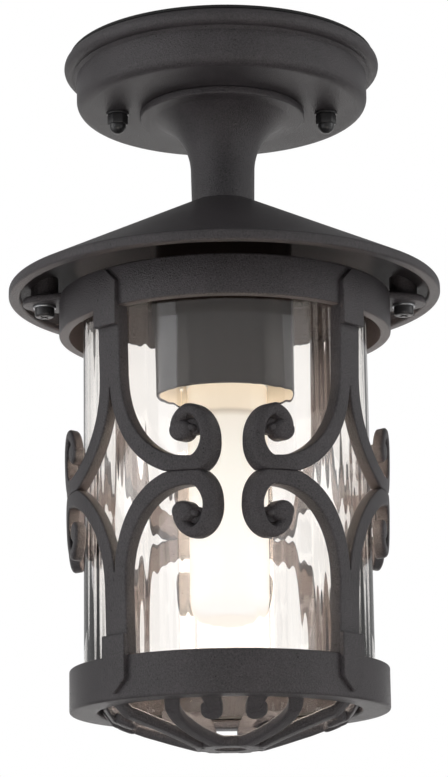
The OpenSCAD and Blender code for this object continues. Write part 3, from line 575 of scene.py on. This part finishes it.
ear_round = 84
ear_edge = 0.7 * MM
ear_outline = (
    [(ear_root_x, -ear_root)]
    + arc(ear_x, 0, ear_r, -ear_round, ear_round, 24)
    + [(ear_root_x, ear_root)]
)
for side in (0, pi):
    ear_verts = [ring_bm.verts.new((x, y, ring_high.z - ear_t)) for x, y in ear_outline]
    ear_face = ring_bm.faces.new(ear_verts)
    raised = bmesh.ops.extrude_face_region(ring_bm, geom=[ear_face])
    ear_top = [v for v in raised["geom"] if isinstance(v, bmesh.types.BMVert)]
    bmesh.ops.translate(ring_bm, verts=ear_top, vec=(0, 0, ear_t))
    ear_edges = {e for v in ear_verts + ear_top for e in v.link_edges if e.calc_face_angle(0) > radians(50)}
    bevelled = bmesh.ops.bevel(ring_bm, geom=list(ear_edges), offset=ear_edge, segments=3, profile=0.5,
                               affect="EDGES", material=-1, clamp_overlap=True)
    # All that hangs together with the eased rim is this ear, and it turns to its own side.
    whole_ear = {v for f in bevelled["faces"] for v in f.verts}
    reach = set(whole_ear)
    while whole_ear:
        whole_ear = {e.other_vert(v) for v in whole_ear for e in v.link_edges} - reach
        reach |= whole_ear
    bmesh.ops.rotate(ring_bm, verts=list(reach), cent=(0, 0, 0), matrix=Matrix.Rotation(side, 3, "Z"))
bmesh.ops.recalc_face_normals(ring_bm, faces=ring_bm.faces)
make_piece("top_ring", ring_bm, black_coat, "cage", "black_coat", ["top_ring"])

# ---------------------------------------------------------------------------------------------
# Bottom ring
# A cast cup without a floor, with the same black coat. Its ledge turns inwards and carries the grille
# and, on a seal, the glass.
foot_low, foot_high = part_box("bottom_ring")
foot_r = foot_high.y
foot_wall = 3.4 * MM
mouth_r = 55.6 * MM
ledge_t = 3 * MM
ledge_z = foot_low.z + ledge_t
foot_edge = 0.8 * MM
foot_low_edge = 1.2 * MM
foot_outline = (
    arc(mouth_r + foot_edge, foot_low.z + foot_edge, foot_edge, 180, 270, 4)
    + arc(foot_r - foot_low_edge, foot_low.z + foot_low_edge, foot_low_edge, -90, 0, 5)
    + arc(foot_r - foot_edge, foot_high.z - foot_edge, foot_edge, 0, 90, 4)
    + [(foot_r - foot_wall, foot_high.z), (foot_r - foot_wall, ledge_z), (mouth_r, ledge_z)]
)
make_piece("bottom_ring", spun(foot_outline, steps=192), black_coat, "cage", "black_coat", ["bottom_ring"])

# ---------------------------------------------------------------------------------------------
# Scrolled posts
# Four cast pieces. A post runs from the top ring to a fork, parts into two arms that curl into
# bulbs, and is mirrored below. Pointed pads lap over both rings and are riveted from inside.
post_w = 12.2 * MM
casting_t = 5.6 * MM
bar_w = 7.8 * MM
curl_w = 5 * MM
fork_h = 40 * MM
curl_reach = 35.9 * MM
curl_half_w = 7.5 * MM
curl_half_h = 11.5 * MM
bulb_r = 4.5 * MM
weld = 1.7 * MM
cage_r = (ring_r + foot_r) / 2
mid_z = (ring_low.z + foot_high.z) / 2
arm_w = post_w / 2 + 0.2 * MM
arm_v = bar_w / 2 - weld
curl_v = arm_v + curl_half_h
bulb_shift = (-3.6 * MM, 3.0 * MM)
coil_turn = 65
coil_end = 0.6
coil_pull = 0.8
face_sunk = 0.2 * MM
edge_r = 0.8 * MM
curl_edge = 1.7 * MM
bulb_edge = 1.8 * MM
bulb_dome = 0.1 * MM
web_r = 3.6 * MM
web_sunk = 2.6 * MM
web_shift = (4.2 * MM, 1.6 * MM)
eye_r = 1.6 * MM
eye_sunk = 0.9 * MM
eye_dome = 0.3 * MM
eye_shift = (4.6 * MM, 0.8 * MM)
back_edge = 0.8 * MM


def face_r(z):
    share = (ring_low.z - z) / (ring_low.z - foot_high.z)
    return ring_r - face_sunk + (foot_r - ring_r) * share


def rounded_section(edge, inner_edge):
    """Corners of a bar's section: across from -1 to 1, a shift in metres, and the depth."""
    points = []
    for side, start, depth_side, radius in ((1, 90, 0, edge), (1, 0, 1, inner_edge),
                                            (-1, 270, 1, inner_edge), (-1, 180, 0, edge)):
        for i in range(5):
            a = radians(start - 90 * i / 4)
            deep = -radius * (1 + sin(a)) if depth_side else radius * (1 - sin(a))
            points.append((side, radius * (cos(a) - side), depth_side, deep))
    return points


def wrap_cage(u, z, depth):
    """From the unrolled cage to the wall of a post casting about +X, seen along the post."""
    across = cage_r * sin(u / cage_r)
    radius = face_r(z) - depth
    return (sqrt(radius * radius - across * across), across, z)


def bar(bm, line, halves, edges, depth, place):
    """A bar along a line: a grid whose rows become its rounded sections, closed at both ends."""
    sections = [rounded_section(edge, edge * 0.6) for edge in edges]
    count = len(sections[0])
    last = len(line) - 1
    grid = bmesh.ops.create_grid(bm, x_segments=last, y_segments=count, size=0.5)
    for v in grid["verts"]:
        i = round((v.co.x + 0.5) * last)
        j = round((v.co.y + 0.5) * count) % count
        side, shift, depth_side, depth_shift = sections[i][j]
        back = line[max(i - 1, 0)]
        ahead = line[min(i + 1, last)]
        run = Vector((ahead[0] - back[0], ahead[1] - back[1])).normalized()
        half = min(halves[i], line[i][1] / run.x) if side < 0 and run.x > 0.2 else halves[i]
        across = side * half + shift
        u = line[i][0] - run.y * across
        w = line[i][1] + run.x * across
        v.co = place(u, w, depth * depth_side + depth_shift)
    bmesh.ops.remove_doubles(bm, verts=grid["verts"], dist=1e-7)
    ends = [e for e in bm.edges if e.is_boundary]
    bmesh.ops.holes_fill(bm, edges=ends, sides=0)


def knob(bm, centre, radius, depth, edge, dome, place):
    """A round boss with a domed face: rings from the middle of its face over its rim to its back."""
    rings = [(0.0, -dome), (0.35, -dome * 0.85), (0.65, -dome * 0.45)]
    for a in (radians(turn) for turn in range(0, 91, 15)):
        rings.append((1 - edge / radius * (1 - sin(a)), edge * (1 - cos(a))))
    rings += [(1.0, depth - back_edge), (1 - back_edge / radius, depth), (0.0, depth)]
    turns = 40
    grid = bmesh.ops.create_grid(bm, x_segments=turns, y_segments=len(rings) - 1, size=0.5)
    for v in grid["verts"]:
        a = 2 * pi * round((v.co.x + 0.5) * turns) / turns
        share, deep = rings[round((v.co.y + 0.5) * (len(rings) - 1))]
        v.co = place(centre[0] + radius * share * cos(a), centre[1] + radius * share * sin(a), deep)
    bmesh.ops.remove_doubles(bm, verts=grid["verts"], dist=1e-7)


def on_cage(m_u, m_v, sunk=0.0):
    return lambda u, v, depth: wrap_cage(m_u * u, mid_z + m_v * v, depth + sunk)


# An arm falls from the fork in a quarter ellipse, turns in a half one and ends in a coil.
arm_steps = 32
coil_steps = 8
arm_line = [
    (curl_reach - (curl_reach - post_w / 4) * cos(a), arm_v + fork_h * (1 - sin(a)))
    for a in (pi / 2 * i / arm_steps for i in range(arm_steps + 1))
]
arm_line += [
    (curl_reach + curl_half_w * cos(a), curl_v + curl_half_h * sin(a))
    for a in (-pi / 2 + pi * i / arm_steps for i in range(1, arm_steps + 1))
]
for i in range(1, coil_steps + 1):
    t = coil_end * i / coil_steps
    a = radians(90 + coil_turn * t / coil_end)
    k = (1 - t) ** coil_pull
    arm_line.append((curl_reach + bulb_shift[0] * t + curl_half_w * k * cos(a),
                     curl_v + bulb_shift[1] * t + curl_half_h * k * sin(a)))
narrow_steps = 15
tip_narrow = 0.3 * MM
round_start = 36
round_steps = 20
arm_halves = [(arm_w + (bar_w - arm_w) * i / arm_steps) / 2 for i in range(arm_steps + 1)]
arm_halves += [(bar_w + (curl_w - bar_w) * min(i / narrow_steps, 1)) / 2 for i in range(1, arm_steps + 1)]
arm_halves += [curl_w / 2 - tip_narrow * i / coil_steps for i in range(1, coil_steps + 1)]
arm_edges = [
    edge_r + (curl_edge - edge_r) * min(max((i - round_start) / round_steps, 0), 1)
    for i in range(len(arm_line))
]
bulb_centre = (curl_reach + bulb_shift[0], curl_v + bulb_shift[1])
web_centre = (bulb_centre[0] + web_shift[0], bulb_centre[1] + web_shift[1])
eye_centre = (bulb_centre[0] + eye_shift[0], bulb_centre[1] + eye_shift[1])

casting_bm = bmesh.new()
for m_u in (1, -1):
    for m_v in (1, -1):
        bar(casting_bm, arm_line, arm_halves, arm_edges, casting_t, on_cage(m_u, m_v))
        knob(casting_bm, bulb_centre, bulb_r, casting_t, bulb_edge, bulb_dome, on_cage(m_u, m_v))
        knob(casting_bm, web_centre, web_r, casting_t - web_sunk, edge_r, 0.0, on_cage(m_u, m_v, web_sunk))
        knob(casting_bm, eye_centre, eye_r, casting_t - eye_sunk, eye_r * 0.8, eye_dome,
             on_cage(m_u, m_v, eye_sunk))

# The straight part of a post narrows to a wedge where its two arms part.
post_rows = 40
post_gap = 0.1 * MM
wedge_v = arm_v + fork_h - 4 * MM
wedge_tip = 0.6 * MM
wedge_slope = 1.5
for m_v, end_z in ((1, ring_low.z), (-1, foot_high.z)):
    top_v = m_v * (end_z - mid_z) - post_gap
    post_line = [(0.0, top_v + (wedge_v - top_v) * i / post_rows) for i in range(post_rows + 1)]
    post_halves = [
        min(post_w / 2, max(wedge_tip, (v - wedge_v) * wedge_slope + wedge_tip)) for _, v in post_line
    ]
    bar(casting_bm, post_line, post_halves, [edge_r] * len(post_line), casting_t, on_cage(1, m_v))

pad_t = 1.9 * MM
pad_w = 12.8 * MM
pad_over = 8.3 * MM
pad_foot = 0.1 * MM
pad_root = 0.3 * MM
pad_tip = 0.5 * MM
pad_edge = 0.9 * MM


def pad(bm, ring, shoulder_z, tip_z, end_z):
    """A pointed pad that laps over a ring: its outline is raised outwards and its rim is eased."""
    half = pad_w / 2
    corners = [(-half, end_z), (half, end_z), (half, shoulder_z), (pad_tip, tip_z), (-pad_tip, tip_z),
               (-half, shoulder_z)]
    verts = [bm.verts.new((ring - pad_foot - pad_root, u, z)) for u, z in corners]
    face = bm.faces.new(verts)
    raised = bmesh.ops.extrude_face_region(bm, geom=[face])
    outer = [v for v in raised["geom"] if isinstance(v, bmesh.types.BMVert)]
    bmesh.ops.translate(bm, verts=outer, vec=(pad_t + pad_root, 0, 0))
    rim = {e for v in outer for e in v.link_edges}
    bmesh.ops.bevel(bm, geom=list(rim), offset=pad_edge, segments=4, profile=0.5, affect="EDGES",
                    material=-1, clamp_overlap=True)


pad(casting_bm, ring_r, shoulder_z=ring_high.z - 6.8 * MM, tip_z=ring_high.z - 1.2 * MM,
    end_z=ring_low.z - pad_over)
pad(casting_bm, foot_r, shoulder_z=foot_low.z + 8.1 * MM, tip_z=foot_low.z + 2.5 * MM,
    end_z=foot_high.z + pad_over)
bmesh.ops.recalc_face_normals(casting_bm, faces=casting_bm.faces)

for name, turn in (("post_front_right", -45), ("post_back_right", 45), ("post_back_left", 135),
                   ("post_front_left", 225)):
    turned = casting_bm.copy()
    quarter = Matrix.Rotation(radians(turn), 3, "Z")
    bmesh.ops.rotate(turned, verts=turned.verts, cent=(0, 0, 0), matrix=quarter)
    make_piece(name, turned, black_coat, "cage", "black_coat", [name], sharp=40)
casting_bm.free()

# ---------------------------------------------------------------------------------------------
# Bottom grille
# One casting: a drilled hub and four hearts of scrolled bars that climb to the ledge, where the
# curls rest. It is domed downwards.
hub_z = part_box("bottom_grille")[0].z
hub_r = 14.9 * MM
hub_hole_r = 6.3 * MM
grille_t = 4.4 * MM
grille_bar = 6.4 * MM
dome_r = mouth_r - 0.2 * MM
dome_z = foot_low.z - 1.6 * MM
heart_x = mouth_r - 9.6 * MM
heart_y = 16.4 * MM
heart_a = 8.7 * MM
heart_steps = 28
heart_sweep = 190
heart_edge = 1.5 * MM
heart_bulb_r = 4.4 * MM
heart_bulb_dome = 0.3 * MM
heart_bulb_shift = Vector((-0.4 * MM, 1.3 * MM))
hub_hole_edge = 0.5 * MM
hub_low_edge = 1.2 * MM
hub_high_edge = 0.8 * MM
dome_steps = [(0.0, 0.0), (0.022, 0.0), (0.35, 0.28), (0.65, 0.56), (0.86, 0.80), (1.0, 1.34), (1.2, 1.34)]


def dome_height(r):
    """The grille's lower face at a distance from the axis, by the steps from the hub to the ledge."""
    share = (r - hub_r) / (dome_r - hub_r)
    if share <= 0:
        return hub_z
    for (a, ha), (b, hb) in zip(dome_steps, dome_steps[1:]):
        if share <= b:
            return hub_z + (ha + (hb - ha) * (share - a) / (b - a)) * (dome_z - hub_z)
    return hub_z + dome_steps[-1][1] * (dome_z - hub_z)


def on_dome(turn, m_y):
    def place(x, y, depth):
        r = sqrt(x * x + y * y)
        z = dome_height(r) + depth
        if r > dome_r:
            z = max(z, ledge_z)
        return Matrix.Rotation(turn, 3, "Z") @ Vector((x, m_y * y, z))
    return place


start = Vector((hub_r - 3 * MM, 4 * MM))
pull = Vector((hub_r + 5 * MM, 15 * MM))
top = Vector((heart_x, heart_y + heart_a))
top_pull = top - Vector((12 * MM, 0))
heart_line = []
for i in range(heart_steps):
    t = i / heart_steps
    w = 1 - t
    heart_line.append(w ** 3 * start + 3 * w * w * t * pull + 3 * w * t * t * top_pull + t ** 3 * top)
for i in range(heart_steps + 1):
    a = radians(heart_sweep * i / heart_steps)
    heart_line.append(Vector((heart_x + heart_a * sin(a), heart_y + heart_a * cos(a))))
heart_bulb = heart_line[-1] + heart_bulb_shift
heart_halves = [grille_bar / 2] * len(heart_line)
heart_edges = [heart_edge] * len(heart_line)

hub_outline = (
    [(hub_hole_r, hub_z + hub_hole_edge), (hub_hole_r + hub_hole_edge, hub_z)]
    + arc(hub_r - 1.0 * MM, hub_z + hub_low_edge, hub_low_edge, -90, 0, 5)
    + arc(hub_r - 0.6 * MM, hub_z + grille_t - hub_high_edge, hub_high_edge, 0, 90, 4)
    + [(hub_hole_r, hub_z + grille_t)]
)
grille_bm = spun(hub_outline, steps=96)
for quarter in range(4):
    for m_y in (1, -1):
        place = on_dome(quarter * pi / 2, m_y)
        bar(grille_bm, heart_line, heart_halves, heart_edges, grille_t, place)
        knob(grille_bm, heart_bulb, heart_bulb_r, grille_t, heart_edge, heart_bulb_dome, place)
bmesh.ops.recalc_face_normals(grille_bm, faces=grille_bm.faces)
make_piece("bottom_grille", grille_bm, black_coat, "cage", "black_coat", ["bottom_grille"], sharp=40)

# ---------------------------------------------------------------------------------------------
# Glass cylinder
# Drawn clear glass with a faint brown tint, between two seals. It is nearly straight outside, with
# uneven vertical ripples inside that bend what lies behind. Soft light goes straight through it.
glass_low, glass_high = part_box("glass_cylinder")
glass_r = glass_high.x
glass_t = 3 * MM
glass_tint = (0.980, 0.960, 0.938, 1)
glass_shade = (0.93, 0.90, 0.87, 1)
glass_material, glass_tree = new_material("rippled_clear_glass")
glass_link = glass_tree.links.new
glass_out = add_node(glass_tree, "ShaderNodeOutputMaterial")
glass = add_node(glass_tree, "ShaderNodeBsdfPrincipled", Roughness=0.015, IOR=1.46)
glass.inputs["Base Color"].default_value = glass_tint
glass.inputs["Transmission Weight"].default_value = 1.0
glass_clear = add_node(glass_tree, "ShaderNodeBsdfTransparent")
glass_clear.inputs["Color"].default_value = glass_shade
glass_path = add_node(glass_tree, "ShaderNodeLightPath")
glass_pass = add_node(glass_tree, "ShaderNodeMath", operation="MAXIMUM")
glass_mix = add_node(glass_tree, "ShaderNodeMixShader")
glass_link(glass_path.outputs["Is Shadow Ray"], glass_pass.inputs[0])
glass_link(glass_path.outputs["Is Diffuse Ray"], glass_pass.inputs[1])
glass_link(glass_pass.outputs[0], glass_mix.inputs[0])
glass_link(glass.outputs[0], glass_mix.inputs[1])
glass_link(glass_clear.outputs[0], glass_mix.inputs[2])
glass_link(glass_mix.outputs[0], glass_out.inputs[0])
glass_edge = 0.7 * MM
glass_outline = (
    arc(glass_r - glass_edge, glass_low.z + glass_edge, glass_edge, -90, 0, 3)
    + arc(glass_r - glass_edge, glass_high.z - glass_edge, glass_edge, 0, 90, 3)
    + arc(glass_r - glass_t + glass_edge, glass_high.z - glass_edge, glass_edge, 90, 180, 3)
    + arc(glass_r - glass_t + glass_edge, glass_low.z + glass_edge, glass_edge, 180, 270, 3)
)
glass_bm = spun(glass_outline, steps=720)


# Each wave has its count round the cylinder, its start and its weight.
waves = ((9, 0.3, 0.30), (14, 1.7, 0.25), (23, 4.1, 0.20), (37, 2.6, 0.15), (59, 0.9, 0.10), (83, 3.3, 0.06))


def ripple(turn):
    """How far the glass swells inwards at a place round the cylinder, from 0 to about 1."""
    total = sum(weight * (1 + sin(count * turn + phase)) for count, phase, weight in waves)
    return total / 2


inner_swell = 0.5 * MM
outer_dip = 0.12 * MM
outer_start = 1.7
for v in glass_bm.verts:
    turn = atan2(v.co.y, v.co.x)
    r = Vector((v.co.x, v.co.y)).length
    inner = r < glass_r - glass_t / 2
    shift = -inner_swell * ripple(turn) if inner else -outer_dip * ripple(outer_start - turn)
    v.co.x *= (r + shift) / r
    v.co.y *= (r + shift) / r
make_piece("glass_cylinder", glass_bm, glass_material, "cage", "clear_glass", ["glass_cylinder"], sharp=60)

# ---------------------------------------------------------------------------------------------
# Dome nuts and cage screws
# Blackened M5 steel: two dome nuts on washers hold the rose, and two screws with a cross recess
# and plain washers hold the cage's ears.
black_steel = grained("blackened_steel", (0.022, 0.022, 0.023, 1), (0.045, 0.044, 0.046, 1), grain=1500,
                      mottle=90, share=0.3, rough=(0.25, 0.4), bump=0.04 * MM)
bright_zinc = grained("bright_zinc", (0.42, 0.43, 0.44, 1), (0.60, 0.61, 0.62, 1), grain=900, mottle=120,
                      share=0.4, rough=(0.28, 0.45), bump=0.03 * MM, metallic=1.0)
washer_r = 5 * MM
washer_bore_r = 2.75 * MM
washer_edge = 0.2 * MM


def washer_at(bm, x, low, high):
    outline = (
        arc(washer_r - washer_edge, low + washer_edge, washer_edge, -90, 0, 3)
        + arc(washer_r - washer_edge, high - washer_edge, washer_edge, 0, 90, 3)
        + [(washer_bore_r, high), (washer_bore_r, low)]
    )
    ring = spun(outline, steps=64)
    bmesh.ops.translate(ring, verts=ring.verts, vec=(x, 0, 0))
    spare = bpy.data.meshes.new("washer")
    ring.to_mesh(spare)
    ring.free()
    bm.from_mesh(spare)
    bpy.data.meshes.remove(spare)


for name, material, slot_name, body in (("nut_washers", black_steel, "black_fastener", "fixture"),
                                        ("ear_washers", bright_zinc, "zinc_steel", "cage")):
    low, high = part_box(name)
    washers_bm = bmesh.new()
    for side in (-1, 1):
        washer_at(washers_bm, side * (high.x - washer_r), low.z, high.z)
    make_piece(name, washers_bm, material, body, slot_name, [name])

hex_h = 4.4 * MM
hex_edge = 0.35 * MM
hex_turn = Matrix.Rotation(radians(30), 3, "Z")
nut_dome_r = 3.6 * MM
nut_dome_sunk = 1 * MM
for name, body in (("dome_nut_left", "nut_left"), ("dome_nut_right", "nut_right")):
    low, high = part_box(name)
    hex_r = (high.x - low.x) / 2
    dome_top = high.z - hex_h + nut_dome_sunk
    nut_outline = (
        [(0, low.z)]
        + arc(0, low.z + nut_dome_r, nut_dome_r, -80, 0, 12)
        + [(nut_dome_r, dome_top), (0, dome_top)]
    )
    nut_bm = spun(nut_outline, closed=False, steps=64)
    hexagon = bmesh.ops.create_cone(nut_bm, cap_ends=True, segments=6, radius1=hex_r, radius2=hex_r,
                                    depth=hex_h)
    bmesh.ops.rotate(nut_bm, verts=hexagon["verts"], cent=(0, 0, 0), matrix=hex_turn)
    bmesh.ops.translate(nut_bm, verts=hexagon["verts"], vec=(0, 0, high.z - hex_h / 2))
    hex_edges = {e for v in hexagon["verts"] for e in v.link_edges}
    bmesh.ops.bevel(nut_bm, geom=list(hex_edges), offset=hex_edge, segments=3, profile=0.5, affect="EDGES",
                    material=-1, clamp_overlap=True)
    bmesh.ops.translate(nut_bm, verts=nut_bm.verts, vec=((low.x + high.x) / 2, 0, 0))
    make_piece(name, nut_bm, black_steel, body, "black_fastener", [name])

head_r = 4.3 * MM
head_h = 3.8 * MM
head_corner = 1.2 * MM
recess_half_w = 0.5 * MM
recess_half_l = 2.4 * MM
recess_h = 1.6 * MM
shank_r = 2.5 * MM
shank_short = 0.5 * MM
for name, body in (("ear_screw_left", "screw_left"), ("ear_screw_right", "screw_right")):
    low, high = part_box(name)
    screw_outline = (
        [(shank_r, high.z - shank_short), (shank_r, low.z + head_h), (head_r, low.z + head_h)]
        + arc(head_r - head_corner, low.z + head_corner, head_corner, 0, -90, 6)
    )
    screw_bm = spun(screw_outline, closed=False, steps=64)
    # The head's face is filled round a cross outline, whose walls then sink into the head.
    rim = [e for e in screw_bm.edges if e.is_boundary and e.verts[0].co.z < low.z + head_corner / 2]
    cross = []
    for quarter in range(4):
        for x, y in ((recess_half_w, -recess_half_w), (recess_half_l, -recess_half_w),
                     (recess_half_l, recess_half_w)):
            place = Matrix.Rotation(radians(45 + 90 * quarter), 3, "Z") @ Vector((x, y, low.z))
            cross.append(screw_bm.verts.new(place))
    cross_edges = [screw_bm.edges.new(pair) for pair in zip(cross, cross[1:] + cross[:1])]
    bmesh.ops.triangle_fill(screw_bm, use_beauty=True, edges=rim + cross_edges)
    inside = [f for f in screw_bm.faces if all(v in cross for v in f.verts)]
    bmesh.ops.delete(screw_bm, geom=inside, context="FACES_ONLY")
    walls = bmesh.ops.extrude_edge_only(screw_bm, edges=cross_edges)
    deep = [v for v in walls["geom"] if isinstance(v, bmesh.types.BMVert)]
    bmesh.ops.translate(screw_bm, verts=deep, vec=(0, 0, recess_h))
    bmesh.ops.holes_fill(screw_bm, edges=[e for e in screw_bm.edges if e.is_boundary], sides=0)
    bmesh.ops.recalc_face_normals(screw_bm, faces=screw_bm.faces)
    bmesh.ops.translate(screw_bm, verts=screw_bm.verts, vec=((low.x + high.x) / 2, 0, 0))
    make_piece(name, screw_bm, black_steel, body, "black_fastener", [name])

# ---------------------------------------------------------------------------------------------
# Small and hidden pieces
# Bought-in steel, brass, ceramic and plastic parts, the three leads, the gasket and the seals. They
# keep their own solids and get their own finishes.
brass = grained("plain_brass", (0.48, 0.33, 0.12, 1), (0.66, 0.48, 0.2, 1), grain=700, mottle=90, share=0.5,
                rough=(0.25, 0.4), bump=0.02 * MM, metallic=1.0)
foam = grained("gasket_foam", (0.012, 0.012, 0.012, 1), (0.03, 0.03, 0.03, 1), grain=900, mottle=200,
               share=0.2, rough=(0.8, 0.95), bump=0.2 * MM)
silicone = grained("seal_dark_silicone", (0.020, 0.019, 0.018, 1), (0.035, 0.033, 0.031, 1), grain=400,
                   mottle=60, share=0.5, rough=(0.45, 0.6), bump=0.02 * MM)
pale_plastic = grained("block_pale_plastic", (0.62, 0.6, 0.53, 1), (0.72, 0.7, 0.63, 1), grain=500, mottle=60,
                       share=0.5, rough=(0.4, 0.5), bump=0.02 * MM)
ceramic = grained("insert_ceramic", (0.7, 0.67, 0.6, 1), (0.8, 0.78, 0.7, 1), grain=300, mottle=60, share=0.6,
                  rough=(0.15, 0.25), bump=0.02 * MM)
bakelite = grained("holder_black_plastic", (0.01, 0.01, 0.01, 1), (0.022, 0.022, 0.022, 1), grain=800,
                   mottle=80, share=0.4, rough=(0.35, 0.5), bump=0.02 * MM)
brown_lead = grained("lead_brown", (0.05, 0.018, 0.008, 1), (0.09, 0.035, 0.015, 1), grain=600, mottle=80,
                     share=0.5, rough=(0.4, 0.5), bump=0.02 * MM)
blue_lead = grained("lead_blue", (0.01, 0.05, 0.25, 1), (0.02, 0.08, 0.35, 1), grain=600, mottle=80,
                    share=0.5, rough=(0.4, 0.5), bump=0.02 * MM)
green_lead = grained("lead_green", (0.06, 0.2, 0.02, 1), (0.5, 0.5, 0.05, 1), grain=90, mottle=60, share=0.1,
                     rough=(0.4, 0.5), bump=0.02 * MM)

for material, nodes in (
    (bright_zinc, ("mounting_strap", "strap_studs", "terminal_screws", "terminal_fixing_screw",
                   "threaded_tube", "top_washer", "top_nut", "bottom_washer", "bottom_nut")),
    (brass, ("earth_screw", "screw_shell", "centre_contact")),
    (foam, ("ceiling_gasket",)),
    (silicone, ("glass_seal_top", "glass_seal_bottom")),
    (pale_plastic, ("terminal_block",)),
    (ceramic, ("contact_insert",)),
    (bakelite, ("lampholder_cap", "lampholder_skirt", "lamp_insulator")),
    (bright_cap, ("lamp_tip",)),
    (brown_lead, ("lead_live",)),
    (blue_lead, ("lead_neutral",)),
    (green_lead, ("lead_earth",)),
):
    for name in nodes:
        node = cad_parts[name]
        node.data.materials.clear()
        node.data.materials.append(material)
